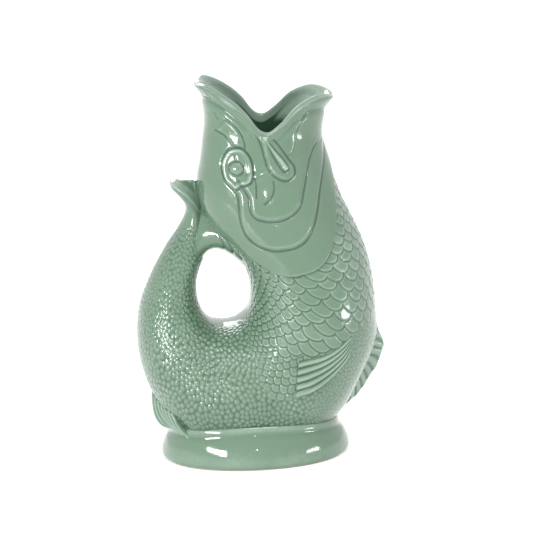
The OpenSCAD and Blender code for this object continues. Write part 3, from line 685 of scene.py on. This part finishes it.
def head_relief(size, points):
    """Height and pooling of the eye, the cheek's terraces, the jaw's folds and the carved lines, with a
    painted highlight on the lip's ridge.
    """
    x, z = points[..., 0], points[..., 2]
    fade_low, fade_high = (share * size.jug_h for share in PLATE_FADE_SHARES)
    fade = mix(0.35, 1, 1 - ease(z, fade_low, fade_high - fade_low))
    side = ease(np.abs(points[..., 1]) / (6 * MM))

    def line(shares):
        """A smooth line through its control points."""
        return through(side_view(size, shares), np.linspace(0, 1, 8 * len(shares)))

    def terrace(closed, slope):
        """1 on the inner side of a closed line and 0 outside, over a slope that starts at the line."""
        return ease(depth_inside(closed, x, z) / slope)

    height = size.plate_lift * fade * (
        terrace(line(OUTER_PLATE_SHARES), 3.0 * MM) + terrace(line(INNER_PLATE_SHARES), 3.0 * MM))
    brow = np.vstack([line(LOWER_BROW_SHARES), line(UPPER_BROW_SHARES)[::-1]])
    height += 0.5 * MM * terrace(brow, 2.0 * MM)
    fold = np.vstack([line(JAW_FOLD_SHARES), line(JAW_RETURN_SHARES)])
    height += size.jaw_lift * terrace(fold, 2.6 * MM)
    height += 0.5 * size.jaw_lift * terrace(line(JAW_DROP_SHARES), 1.6 * MM)
    ridge = bump(distance_to(line(LIP_RIDGE_SHARES), x, z), 1.5 * MM)
    height += 1.1 * MM * ridge

    eye = depth_inside(line(EYE_SHARES), x, z)
    height += size.eye_lift * (ease(eye / (1.9 * MM)) - 0.4 * ease(eye, 2.4 * MM, 2.2 * MM))
    at_x, at_z = side_view(size, PUPIL_SHARE)
    pupil = np.hypot(x - at_x, z - at_z) / (PUPIL_RADIUS_SHARE * size.jug_l)
    height += 0.7 * size.eye_lift * np.clip(1 - pupil ** 2, 0, 1) ** 0.8

    lines = bump((pupil - 1) * PUPIL_RADIUS_SHARE * size.jug_l, 0.6 * MM)
    for shares, weight in CARVED_LINES:
        lines = np.maximum(lines, weight * bump(distance_to(line(shares), x, z), 0.62 * MM))
    # Glaze pools in the carved lines; the lip ridge is paler, thin glaze on the raised ridge and a
    # painted highlight
    return (height - size.carving * lines) * side, 0.5 + (0.46 * lines - 0.3 * ridge) * side


def trunk_skins(size):
    """The four skins of the trunk and tail, cut from one grid so that they meet without a seam."""
    body = Body(size)
    columns = 520
    station, angle, starts = trunk_rows(columns)
    plain = body.skin(station, angle)
    height, pool_and_painted_light = trunk_relief(size, station, angle, plain)
    outer = plain + normals_of(plain) * height[..., None]

    # The fin's crown: over its rounded rim and up a shallow dish to the ridge in its middle
    rim, inward = plain[-1], (1 + np.cos(angle[0])) / 2
    ridge = np.stack([mix(-0.270 * size.jug_l, -0.208 * size.jug_l, inward), np.zeros(columns),
                      np.full(columns, 0.7355 * size.jug_h)], -1)
    crown = []
    for q in np.concatenate([[0.012, 0.035, 0.07, 0.11], np.linspace(0.16, 0.97, 22)]):
        rolled = 1.5 * MM * math.sin(math.pi * min(1, q / 0.16) / 2) ** 0.5 * (1 - q) ** 3
        row = mix(rim, ridge, q)
        row[:, 2] += rolled + mix(1.4, -1.5, inward) * MM * math.sin(math.pi * q)
        crown.append(row)
    whole = np.concatenate([outer, np.array(crown)])
    normals = normals_of(whole)
    # Painted light on the crown by the fin's rim and on the rim's last rows, and painted shade towards
    # the ridge
    crown_painted_light_and_shade = 0.6 * ease(np.linspace(0, 1, len(crown)), 0.5, 0.35)
    pool_and_painted_light = with_pooling(pool_and_painted_light, height)
    pool_and_painted_light[-4:] = mix(pool_and_painted_light[-4:], 0.12, np.linspace(0.2, 1, 4)[:, None])
    pool_and_painted_light = np.concatenate([pool_and_painted_light, np.repeat(crown_painted_light_and_shade[:, None], columns, axis=1)])

    def lined(rows, back):
        """Points, normals and pooling with painted light and shade of rows of the skin, with those of
        the hollow behind them.
        """
        inner = body.skin(back, angle[:len(back)], -size.wall)
        return ((whole[rows], inner), (normals[rows], -normals_of(inner)),
                (pool_and_painted_light[rows], np.full(inner.shape[:2], 0.55)))

    skins = []
    for k, (name, count) in enumerate((("breast_skin", 14), ("belly_skin", 10), ("rump_skin", 8))):
        a, b = starts[k], starts[k + 1]
        back = np.linspace(station[b], station[a] if k else by_angle(GILL_SHARES, angle[0]), count)
        grid, shading, tone = (np.concatenate(pair) for pair in lined(slice(a, b + 1), back))
        skins.append(closed_piece(name, grid, tone, shading))
    back = np.repeat(np.linspace(HOLLOW_END, TAIL_ROOT, 12)[:, None], columns, 1)
    grid, shading, tone = (np.concatenate(pair[::-1]) for pair in lined(slice(starts[3], None), back))
    return skins + [ended_piece("tail_skin", grid, tone, shading)]


def head_skin(size):
    """The head from the gill line over the rolled lip and down inside to the gill line again."""
    body = Body(size)
    angle = ring_angles(440, 0.2)
    turned = np.degrees(np.arccos(np.cos(angle)))
    gill, mouth = by_angle(GILL_SHARES, angle), by_angle(MOUTH_SHARES, angle)
    sample = body.skin(mix(gill, mouth, np.linspace(0, 1, 60)[:, None]), np.tile(angle, (60, 1)))
    reach = np.linalg.norm(np.diff(sample, axis=0), axis=-1).sum(axis=0)

    def row(t, out):
        return body.skin(mix(gill, mouth, t), angle, out)

    edge = [row(d * MM / reach, out * size.gill_lift) for d, out in
            ((-0.1, -0.6), (-0.15, 0.1), (0.0, 0.5), (0.3, 0.8), (0.75, 0.97), (1.3, 1.03))]
    share = np.linspace(0, 1, 172)[:, None]
    places = mix(1.9 * MM / reach, 1 - 2.4 * MM / reach, share)
    rise = size.gill_lift * (1 - ease(places, 0.05, 0.5))
    plain = body.skin(mix(gill, mouth, places), np.tile(angle, (172, 1)))
    plain = plain + normals_of(plain) * rise[..., None]
    height, pool_and_painted_light = head_relief(size, plain)
    # The skin draws in under the lip, except at the corners of the mouth
    corner = bump(turned - MOUTH_CORNER_ANGLE, 17)
    channel = bump((1 - places) * reach - 5.0 * MM, 2.4 * MM) * (1 - 0.8 * corner)
    height = height - CHANNEL_DEPTH * channel
    pool_and_painted_light = with_pooling(pool_and_painted_light + 0.1 * channel, height)
    outer = plain + normals_of(plain) * height[..., None]

    o, i = row(1, 0), row(1, -size.wall)
    low = body.skin(mouth + 0.15, angle)
    slim = (1 - 0.3 * corner)[:, None]
    over = (o - i) / np.linalg.norm(o - i, axis=-1, keepdims=True) * size.lip_w * slim
    up = (o - low) / np.linalg.norm(o - low, axis=-1, keepdims=True) * size.lip_h * slim
    bead = [(o + i) / 2 + over * p + up * q for p, q in LIP_PROFILE]
    below = [row(1 - d * MM / reach, -size.wall) for d in (1.9, 3.4)]
    lip = through([outer[-5], outer[-1]] + bead + below, np.linspace(0, 1, 51))[6:]
    inner_places = np.linspace(0.08, 1, 22)
    inner = np.array([row(1 - t, -size.wall) for t in inner_places])
    grid = np.concatenate([edge, outer, lip, inner])

    deep = bump(turned - MOUTH_CORNER_ANGLE, 32)
    over_lip = np.linspace(0, 1, len(lip))[:, None]
    # Painted shade on the lip's inner side, deep in the mouth's corners
    lip_pool_and_painted_light = from_table(LIP_POOLING_AND_PAINTED_LIGHT, over_lip) + 1.7 * deep * ease(over_lip, 0.86, 0.14)
    edge_pool = np.repeat(np.array([0.7, 0.45, 0.3, 0.22, 0.3, 0.42])[:, None], len(angle), axis=1)
    # Inside the mouth, painted light (the pale inside colour) just under the lip and painted shade
    # deeper down, and sooner in the mouth's corners
    inner_painted_light_and_shade = mix(-0.8, 1.3, ease((inner_places[:, None] - 0.25 + 0.3 * deep) / 0.12))
    pool_and_painted_light = np.concatenate([edge_pool, pool_and_painted_light, lip_pool_and_painted_light, inner_painted_light_and_shade])
    return closed_piece("head_skin", grid, pool_and_painted_light, normals_of(grid, ring=True))


def web_skin(size):
    """The web between the nape and the tail's shaft, which runs out smoothly onto both."""
    body = Body(size)
    turn = ring_angles(160)
    nape_top = ((0, 5.0), (8, 5.9), (16, 6.8), (24, 7.25), (40, 7.9))
    shaft_top = ((0, 28.7), (15, 27.2), (30, 26.3), (62, 25.9), (90, 25.9))

    def end(top, bottom, reach, r, out):
        a = r * math.radians(reach) * np.sin(turn)
        upper = from_table(top, np.degrees(np.abs(a)))
        edge_at = np.where(np.cos(turn) >= 0, upper, bottom)
        return body.skin(mix((upper + bottom) / 2, edge_at, r * np.abs(np.cos(turn))), a, out)

    nape, shaft, buried = (nape_top, 9.7, 36), (shaft_top, 22.3, 78), -1.6 * MM
    corners = [end(*nape, 1, -1.2 * MM), end(nape_top, 8.2, 21, 1, 1.8 * MM),
               end(shaft_top, 24.0, 52, 1, 1.2 * MM), end(*shaft, 1, -0.4 * MM)]
    t = np.linspace(0, 1, 90)[:, None, None]
    rows = ((1 - t) ** 3 * corners[0] + 3 * (1 - t) ** 2 * t * corners[1]
            + 3 * (1 - t) * t ** 2 * corners[2] + t ** 3 * corners[3])
    # Folds that fan from the top of the finger hole along the gill cover's edge
    t, lower = t[..., 0], -np.cos(turn)
    folds = bump(np.mod(7.5 * t ** 0.8, 1) - 0.5, 0.2) * (1 - ease(t, 0.3, 0.2))
    folds = folds * ease(lower, -0.5, 0.5) * (1 - ease(lower, 0.85, 0.12)) * ease(t, 0.04, 0.1)
    rows = rows - normals_of(rows) * (0.5 * MM * folds)[..., None]
    # Glaze pools in the folds; the web is paler on its upper side, which is painted light
    pool_and_painted_light = np.clip(0.52 + 0.42 * folds - 0.1 * ease(-lower, 0.3, 0.5), 0, 1)
    rows = np.concatenate([[end(*nape, 1, buried)], rows, [end(*shaft, 1, buried)]])
    pool_and_painted_light = np.concatenate([pool_and_painted_light[:1], pool_and_painted_light, pool_and_painted_light[-1:]])
    ends = [end(*nape, 0, buried)[0], end(*shaft, 0, buried)[0]]
    return ended_piece("web_skin", rows, pool_and_painted_light, ends=ends)


def foot_rows(size, turn, out):
    """The belly's points along the foot's top edge, at angles round the foot."""
    body = Body(size)
    x, z = foot_line(size, turn)
    y = body.skin(*body.behind(x, z, FOOT_SPAN), out)[..., 1]
    y = np.where(np.abs(np.sin(turn)) < 1e-6, 0, np.where(np.sin(turn) > 0, y, -y))
    return np.stack([x + out * np.cos(turn), y, z], -1)


def foot_skin(size):
    """The rounded oval foot with a small roll where it meets the belly."""
    turn = ring_angles(420)
    edge = foot_rows(size, turn, -0.3 * MM)
    tail_end, breast_end = foot_ends(size)
    half_x = (breast_end - tail_end) / 2 + size.end_flare
    half_y = size.side_flare - foot_rows(size, np.array([np.pi / 2]), 0.4 * MM)[0, 1]
    oval = np.stack([(breast_end + tail_end) / 2 + half_x * np.cos(turn), -half_y * np.sin(turn)], -1)
    controls, tones = [], []
    for place, share, tone in FOOT_PROFILE + FOOT_PROFILE[:1]:
        flat = mix(edge[:, :2], oval, place)
        controls.append(np.column_stack([flat, mix(size.band_t, edge[:, 2], share)]))
        tones.append(np.full((len(turn), 1), tone))
    way = np.linspace(0, 1, 177)[:-1]
    rows, pool_and_painted_light = through(controls, way), np.clip(through(tones, way)[..., 0], 0, 1)
    return closed_piece("foot_skin", rows, pool_and_painted_light, normals_of(rows, ring=True))


def breast_fin_skin(size):
    """The fin down the breast, with broad rounded ribs and a scalloped edge."""
    ribs = 10
    f = np.linspace(0, 1, 230)
    root = Body(size).skin(mix(10.78, 13.12, f), np.pi)
    tip = through(side_view(size, FIN_EDGE_SHARES), f)
    g = np.concatenate([np.linspace(-0.3, 0.9, 24), [0.93, 0.955, 0.975, 0.99, 1.0]])
    phase = ribs * f[:, None] - 1.1 * g[None, :]
    crest = np.abs(np.sin(np.pi * phase)) ** 0.62
    wedge = mix(2.2, 0.5, np.clip((g + 0.3) / 1.3, 0, 1) ** 0.75)
    half = size.breast_fin_t / 2 * wedge + 1.3 * size.rib_lift * (crest - 0.5)
    half = half * np.sqrt(np.clip(1 - np.clip((g - 0.86) / 0.14, 0, 1) ** 2, 0, 1))
    half = half * ease(np.minimum(f, 1 - f) / 0.035)[:, None] ** 0.5
    reach = g[None, :] * (1 - 0.045 * (1 - crest[:, -1:]) * np.clip(g, 0, 1) ** 4)
    flat = root[:, None, (0, 2)] + (tip - root[:, (0, 2)])[:, None] * reach[..., None]
    right = np.stack([flat[..., 0], -half, flat[..., 1]], -1)
    grid = np.concatenate([right, right[:, -2::-1] * (1, -1, 1)], axis=1)
    tone = 0.40 + 0.5 * (1 - crest) ** 2.2 - 0.32 * crest ** 2 - 0.22 * bump(g - 1, 0.1)
    pool_and_painted_light = np.clip(np.concatenate([tone, tone[:, -2::-1]], axis=1), 0, 1)
    return ended_piece("breast_fin_skin", grid, pool_and_painted_light)


def sheet(body, station, angle, lift, pool_and_painted_light, step):
    """A fin's points and pooling: its face over the skin, and every few columns of its hidden side."""
    under = body.skin(station, angle, -SUNK)[:, 1:-1][:, ::-step]
    grid = np.concatenate([body.skin(station, angle, lift), under], axis=1)
    return grid, np.concatenate([np.clip(pool_and_painted_light, 0, 1), np.full(under.shape[:2], 0.6)], axis=1)


def pectoral_skins(size):
    """The pair of ridged fins low on the flanks."""
    ridges, body = 5, Body(size)
    places = np.concatenate([np.linspace(0, 0.97, 84), [0.98, 0.988, 0.994, 0.998, 1.0]])
    f, g = np.meshgrid(places, np.linspace(0, 1, 81), indexing="ij")
    upper, lower = (through(side_view(size, s), f) for s in (PECTORAL_TOP_SHARES, PECTORAL_LOW_SHARES))
    flat = mix(upper, lower, g[..., None])

    crest = np.abs(np.sin(np.pi * (ridges * g))) ** 0.55
    tail = np.clip((f - 0.975) / 0.025, 0, 1)
    rise = 0.5 * MM + size.pectoral_lift * mix(0.3, 1.05, f) * crest + 1.1 * MM * ease(f, 0.5, 0.5)
    edge = np.sqrt(np.clip(np.minimum(g, 1 - g) / 0.05, 0, 1)) * np.sqrt(1 - tail ** 2)
    lift = -SUNK + (rise + SUNK) * edge * np.sqrt(np.clip(f / 0.03, 0, 1))
    pool_and_painted_light = 0.5 + 0.48 * (1 - crest) ** 1.2 - 0.34 * crest ** 3 * (1 - 0.5 * tail)
    station, angle = body.behind(flat[..., 0], flat[..., 1], (9.0, 15.0))
    return both_flanks("pectoral_skin", *sheet(body, station, angle, lift, pool_and_painted_light, 4))


def rear_fin_skins(size):
    """The pair of fins behind: a fan lobe that runs on as a ribbed band over the foot's shoulder."""
    ribs, body = 7, Body(size)
    f, g = np.linspace(0, 1, 216), np.linspace(0, 1, 34)
    line = through(REAR_LINE_SHARES, f)
    x, z = foot_line(size, np.radians(line[:, 0]))
    _, angle = body.behind(x, z, FOOT_SPAN)
    below = (3.4 * MM * ease(f, 0.15, 0.4))[:, None]
    tall = (line[:, 1] * size.rear_fin_h + 2.1 * MM)[:, None]
    level = z[:, None] - 0.6 * MM - below + (tall + below) * (1 - g)
    spread = np.broadcast_to(angle[:, None], level.shape)
    low, high = np.full(level.shape, 15.0), np.full(level.shape, 20.0)
    station = turning(lambda m: body.skin(m, spread)[..., 2] > level, low, high)

    crest = np.abs(np.sin(np.pi * ribs * f)) ** 0.55
    lobe = mix(size.rear_lobe, 0.8 * MM, ease(f / 0.45))
    shoulder = 4.4 * MM * ease((z[:, None] + 1.4 * MM - level) / (4.4 * MM))
    rise = 0.7 * MM + (2.8 * MM * crest)[:, None] + shoulder + lobe[:, None] * np.sin(np.pi * g) ** 0.6
    rise = rise * ease(np.minimum(f, 1 - f) / 0.03)[:, None] ** 0.5
    lift = -SUNK + (rise + SUNK) * np.sin(np.pi * g) ** 0.35
    pool_and_painted_light = np.repeat((0.5 + 0.5 * (1 - crest) ** 1.4 - 0.36 * crest ** 2)[:, None], len(g), axis=1)
    return both_flanks("rear_skin", *sheet(body, station, spread, lift, pool_and_painted_light, 3))


def filled(made, values):
    """A node with values on its inputs, by their names."""
    for key, value in values.items():
        made.inputs[key].default_value = value
    return made


def node(tree, kind, values=None, **settings):
    """Adds a node with settings and with values on its inputs."""
    made = tree.nodes.new(kind)
    for key, value in settings.items():
        setattr(made, key, value)
    return filled(made, values or {})


def joined(tree, *pairs):
    """Joins each input to a socket, or gives it a value."""
    for source, into in pairs:
        if isinstance(source, bpy.types.NodeSocket):
            tree.links.new(source, into)
        else:
            into.default_value = source


def blend(tree, factor, a, b):
    """Blends two colours and returns the result's socket."""
    made = node(tree, "ShaderNodeMix", data_type="RGBA")
    into = [s for s in made.inputs if s.type == "RGBA"]
    joined(tree, (factor, made.inputs["Factor"]), (a, into[0]), (b, into[1]))
    return [s for s in made.outputs if s.type == "RGBA"][0]


def ramp(tree, source, low, high, to_low=0.0, to_high=1.0):
    """Maps a value from one span to another, smoothly, and returns the result's socket."""
    made = node(tree, "ShaderNodeMapRange", {"From Min": low, "From Max": high, "To Min": to_low,
                                             "To Max": to_high}, interpolation_type="SMOOTHSTEP")
    joined(tree, (source, made.inputs["Value"]))
    return made.outputs["Result"]


def noise(tree, place, scale, detail, rough=0.5):
    """Noise at a place, with its scale in cells a metre."""
    made = node(tree, "ShaderNodeTexNoise", {"Scale": scale, "Detail": detail, "Roughness": rough})
    joined(tree, (place, made.inputs["Vector"]))
    return made.outputs["Fac"]


def maths(tree, operation, a, b):
    """Works on two values, each a socket or a number."""
    made = node(tree, "ShaderNodeMath", operation=operation)
    joined(tree, *zip((a, b), made.inputs))
    return made.outputs[0]


def effect(work, inputs):
    """The node group in which work gives a colour, a roughness and a height at each place."""
    group = bpy.data.node_groups.get(work.__name__)
    if group:
        return group
    group = bpy.data.node_groups.new(work.__name__, "ShaderNodeTree")
    results = dict.fromkeys(("Color", "Roughness", "Height"))
    for in_out, sockets in (("INPUT", inputs), ("OUTPUT", results)):
        for key, default in sockets.items():
            kind = "Color" if key == "Color" or isinstance(default, tuple) else "Float"
            group.interface.new_socket(name=key, in_out=in_out, socket_type="NodeSocket" + kind)
    given, out = node(group, "NodeGroupInput").outputs, node(group, "NodeGroupOutput").inputs
    place = node(group, "ShaderNodeTexCoord").outputs["Object"]
    joined(group, *zip(work(group, given, place), out))
    return group


def glaze_and_painted_light(group, given, place):
    """Green glaze: darker with pooling and painted shade, paler with thin glaze and painted light."""
    pool_and_painted_light = node(group, "ShaderNodeAttribute", attribute_name="pool_and_painted_light").outputs["Fac"]
    clouds, grain = noise(group, place, 38, 4, 0.6), noise(group, place, 420, 2, 0.6)
    drift = maths(group, "MULTIPLY", maths(group, "SUBTRACT", clouds, 0.5), given["Mottle"])
    depth_and_painted_light = maths(group, "ADD", maths(group, "ADD", pool_and_painted_light, drift),
                  maths(group, "MULTIPLY", maths(group, "SUBTRACT", grain, 0.5), 0.12))
    colour_ = given["Body"]
    for low, high, other in ((0.46, 0.98, "Pooled_and_painted_shade"), (0.46, 0.04, "Thin_and_painted_light"), (-0.15, -0.75, "Inside_painted_light")):
        colour_ = blend(group, ramp(group, depth_and_painted_light, low, high), colour_, given[other])
    specks = ramp(group, noise(group, place, 900, 1), 0.74, 0.8, 0.0, 0.35)
    return (blend(group, specks, colour_, given["Pooled_and_painted_shade"]), ramp(group, clouds, 0.3, 0.7, 0.06, 0.12),
            noise(group, place, 150, 2))


def clay_grain(group, given, place):
    """Bare fired clay: a fine sandy grain with darker specks and a faint warm drift."""
    sand, drift = noise(group, place, 1400, 3, 0.7), noise(group, place, 60, 3)
    toned = blend(group, ramp(group, drift, 0.3, 0.8, 0.0, 0.3), given["Clay"], given["Speck"])
    return (blend(group, ramp(group, sand, 0.62, 0.75, 0.0, 0.7), toned, given["Speck"]),
            ramp(group, sand, 0.2, 0.8, 0.7, 0.92), sand)


def surface(name, work, values, strength, wave):
    """A new material whose colour, roughness and waves come from a node group, and its shader."""
    made = bpy.data.materials.new(name)
    made.use_nodes = True
    tree = made.node_tree
    shader = tree.nodes["Principled BSDF"]
    source = node(tree, "ShaderNodeGroup", values, node_tree=effect(work, values)).outputs
    waves = node(tree, "ShaderNodeBump", {"Strength": strength, "Distance": wave})
    joined(tree, (source["Color"], shader.inputs["Base Color"]),
           (source["Roughness"], shader.inputs["Roughness"]),
           (source["Height"], waves.inputs["Height"]),
           (waves.outputs["Normal"], shader.inputs["Normal"]))
    return made, shader


def glazed(name, colours):
    """A glossy green glaze, with the tone of one part of the jug."""
    if name in bpy.data.materials:
        return bpy.data.materials[name]
    tone, mottle, wave, coat = GLAZES[name]
    values = {key: (*(tone * c for c in value), 1) for key, value in
              (("Body", colours.body), ("Pooled_and_painted_shade", colours.pooled_and_painted_shade), ("Thin_and_painted_light", colours.thin_and_painted_light))}
    values.update({"Inside_painted_light": INSIDE_PAINTED_LIGHT, "Mottle": mottle})
    made, shader = surface(name, glaze_and_painted_light, values, 1.0, wave)
    filled(shader, {"IOR": 1.5, "Coat Weight": coat, "Coat Roughness": 0.03})
    return made


def bare_clay(colours):
    """The unglazed clay of the band that the jug stands on."""
    values = {"Clay": (*colours.clay, 1), "Speck": (*(0.5 * c for c in colours.clay), 1)}
    return surface("bare_clay_grain", clay_grain, values, 0.6, 0.00015)[0]


def dress(context, glaze, skins, *replaced):
    """Gives skins their glaze, shows each in place of its solids and rides it on the jug."""
    for piece, nodes in zip(skins, replaced):
        piece.data.materials.append(glazed(glaze, context.scene.jug_colours))
        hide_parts(*nodes)
        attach(piece, "root")
    return {"FINISHED"}


class JUG_OT_trunk(bpy.types.Operator):
    """Makes the scaled and pebbled skins of the breast, belly, rump and tail with its fin"""

    bl_idname = "jug.trunk"
    bl_label = "Trunk and Tail"

    def execute(self, context):
        return dress(context, "scaled_glaze", trunk_skins(context.scene.jug_sizes),
                     ["breast_shell"], ["belly_shell"], ["rump_shell"], ["tail_shell", "tail_fin"])


class JUG_OT_web(bpy.types.Operator):
    """Makes the web of clay between the nape and the tail"""

    bl_idname = "jug.web"
    bl_label = "Tail Web"

    def execute(self, context):
        return dress(context, "scaled_glaze", [web_skin(context.scene.jug_sizes)], ["tail_web"])


class JUG_OT_head(bpy.types.Operator):
    """Makes the head with its rolled lip, eyes, cheeks, jaw folds and carved lines"""

    bl_idname = "jug.head"
    bl_label = "Head"

    def execute(self, context):
        return dress(context, "head_glaze", [head_skin(context.scene.jug_sizes)],
                     ["head_shell", "lip_rim", "right_eye", "left_eye", "right_cheek_plate",
                      "left_cheek_plate", "right_jaw_fold", "left_jaw_fold"])


class JUG_OT_foot(bpy.types.Operator):
    """Makes the rounded oval foot"""

    bl_idname = "jug.foot"
    bl_label = "Foot"

    def execute(self, context):
        return dress(context, "foot_glaze", [foot_skin(context.scene.jug_sizes)], ["foot_ring"])


class JUG_OT_floor_clay(bpy.types.Operator):
    """Gives the floor inside the foot, and the band that it stands on, their bare clay"""

    bl_idname = "jug.floor_clay"
    bl_label = "Bare Clay Band"

    def execute(self, context):
        clay = bare_clay(context.scene.jug_colours)
        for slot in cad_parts["base_floor"].material_slots:
            slot.material = clay
        return {"FINISHED"}


class JUG_OT_breast_fin(bpy.types.Operator):
    """Makes the ribbed fin down the breast"""

    bl_idname = "jug.breast_fin"
    bl_label = "Breast Fin"

    def execute(self, context):
        return dress(context, "fin_glaze", [breast_fin_skin(context.scene.jug_sizes)], ["breast_fin"])


class JUG_OT_pectoral_fins(bpy.types.Operator):
    """Makes the pair of ridged fins on the flanks"""

    bl_idname = "jug.pectoral_fins"
    bl_label = "Pectoral Fins"

    def execute(self, context):
        return dress(context, "fin_glaze", pectoral_skins(context.scene.jug_sizes),
                     ["right_pectoral_fin"], ["left_pectoral_fin"])


class JUG_OT_rear_fins(bpy.types.Operator):
    """Makes the pair of fins behind, over the foot's shoulder"""

    bl_idname = "jug.rear_fins"
    bl_label = "Rear Fins"

    def execute(self, context):
        return dress(context, "fin_glaze", rear_fin_skins(context.scene.jug_sizes),
                     ["right_rear_fin"], ["left_rear_fin"])


def where(tree, *rays):
    """1 where one of the rays looks, such as the camera's, and 0 elsewhere."""
    path = node(tree, "ShaderNodeLightPath").outputs
    seen = path[rays[0]]
    for ray in rays[1:]:
        seen = maths(tree, "MAXIMUM", seen, path[ray])
    return seen


def studio_world():
    """A white room: even light on the jug, and plain white where it is seen or mirrored."""
    world = bpy.data.worlds.new("white_room")
    world.use_nodes = True
    tree = world.node_tree
    shader = filled(tree.nodes["Background"], {"Color": (1, 1, 1, 1)})
    seen = where(tree, "Is Camera Ray", "Is Glossy Ray", "Is Transmission Ray")
    joined(tree, (ramp(tree, seen, 0, 1, 0.50, 1.0), shader.inputs["Strength"]))
    return world


def studio_floor(colour_):
    """The pale floor, which keeps the jug's shadow and is white where it is seen."""
    corners = [(x * FLOOR_HALF, y * FLOOR_HALF, 0) for x, y in ((-1, -1), (1, -1), (1, 1), (-1, 1))]
    mesh = bpy.data.meshes.new("studio_floor")
    mesh.from_pydata(corners, [], [(0, 1, 2, 3)])
    made = bpy.data.materials.new("studio_floor")
    made.use_nodes = True
    tree = made.node_tree
    shader = filled(tree.nodes["Principled BSDF"], {
        "Base Color": (*colour_, 1), "Emission Color": (1, 1, 1, 1), "Roughness": 0.9,
        "Specular IOR Level": 0.0})
    seen = where(tree, "Is Camera Ray", "Is Glossy Ray")
    joined(tree, (maths(tree, "MULTIPLY", seen, 0.62), shader.inputs["Emission Strength"]))
    mesh.materials.append(made)
    placed("studio_floor", mesh)


def soft_box(name, azimuth, elevation, size, power):
    """A rectangular lamp turned to the jug, at an azimuth from the front towards the breast."""
    lamp = bpy.data.lights.new(name, "AREA")
    lamp.shape = "RECTANGLE"
    lamp.size, lamp.size_y = size
    lamp.energy = power
    a, e = math.radians(azimuth), math.radians(elevation)
    away = Vector((math.sin(a) * math.cos(e), -math.cos(a) * math.cos(e), math.sin(e)))
    holder = placed(name, lamp)
    holder.location = Vector(MIDDLE_OF_JUG) + away * LAMP_DISTANCE
    holder.rotation_euler = away.to_track_quat("Z", "Y").to_euler()


def studio_camera():
    """The camera at the photograph's place, turned a little about its own line of sight."""
    place = Vector(CAMERA_PLACE)
    ahead = (Vector(CAMERA_TARGET) - place).normalized()
    right = ahead.cross(Vector((0, 0, 1))).normalized()
    up = right.cross(ahead)
    c, s = math.cos(CAMERA_ROLL), math.sin(CAMERA_ROLL)
    right, up = right * c - up * s, right * s + up * c
    lens = bpy.data.cameras.new("camera")
    lens.sensor_width = 36
    lens.lens = CAMERA_LENS
    camera = placed("camera", lens)
    camera.matrix_world = Matrix.Translation(place) @ Matrix((right, up, -ahead)).transposed().to_4x4()
    bpy.context.scene.camera = camera


class JUG_OT_studio(bpy.types.Operator):
    """Makes the floor, the white room, the soft boxes and the camera"""

    bl_idname = "jug.studio"
    bl_label = "Studio"

    def execute(self, context):
        context.scene.world = studio_world()
        studio_floor(context.scene.jug_colours.floor)
        for lamp in SOFT_BOXES:
            soft_box(*lamp)
        studio_camera()
        context.scene.view_settings.view_transform = "Standard"
        return {"FINISHED"}


OPERATORS = (JUG_OT_trunk, JUG_OT_web, JUG_OT_head, JUG_OT_foot, JUG_OT_floor_clay, JUG_OT_breast_fin,
             JUG_OT_pectoral_fins, JUG_OT_rear_fins, JUG_OT_studio)


class JUG_PT_panel(bpy.types.Panel):
    """Lists the jug's pieces, its sizes and its colours"""

    bl_label = "Fish Gurgle Jug"
    bl_idname = "JUG_PT_panel"
    bl_space_type = "VIEW_3D"
    bl_region_type = "UI"
    bl_category = "Jug"

    def draw(self, context):
        column = self.layout.column(align=True)
        for operator in OPERATORS:
            column.operator(operator.bl_idname)
        for group in (context.scene.jug_sizes, context.scene.jug_colours):
            box = self.layout.box()
            for name in group.__annotations__:
                box.prop(group, name)


CLASSES = (JugSizes, JugColours) + OPERATORS + (JUG_PT_panel,)


def register():
    for part in CLASSES:
        bpy.utils.register_class(part)
    bpy.types.Scene.jug_sizes = bpy.props.PointerProperty(type=JugSizes)
    bpy.types.Scene.jug_colours = bpy.props.PointerProperty(type=JugColours)


def unregister():
    del bpy.types.Scene.jug_colours
    del bpy.types.Scene.jug_sizes
    for part in reversed(CLASSES):
        bpy.utils.unregister_class(part)


def main():
    register()
    bpy.ops.jug.trunk()
    bpy.ops.jug.web()
    bpy.ops.jug.head()
    bpy.ops.jug.foot()
    bpy.ops.jug.floor_clay()
    bpy.ops.jug.breast_fin()
    bpy.ops.jug.pectoral_fins()
    bpy.ops.jug.rear_fins()
    bpy.ops.jug.studio()


if __name__ == "__main__":
    main()
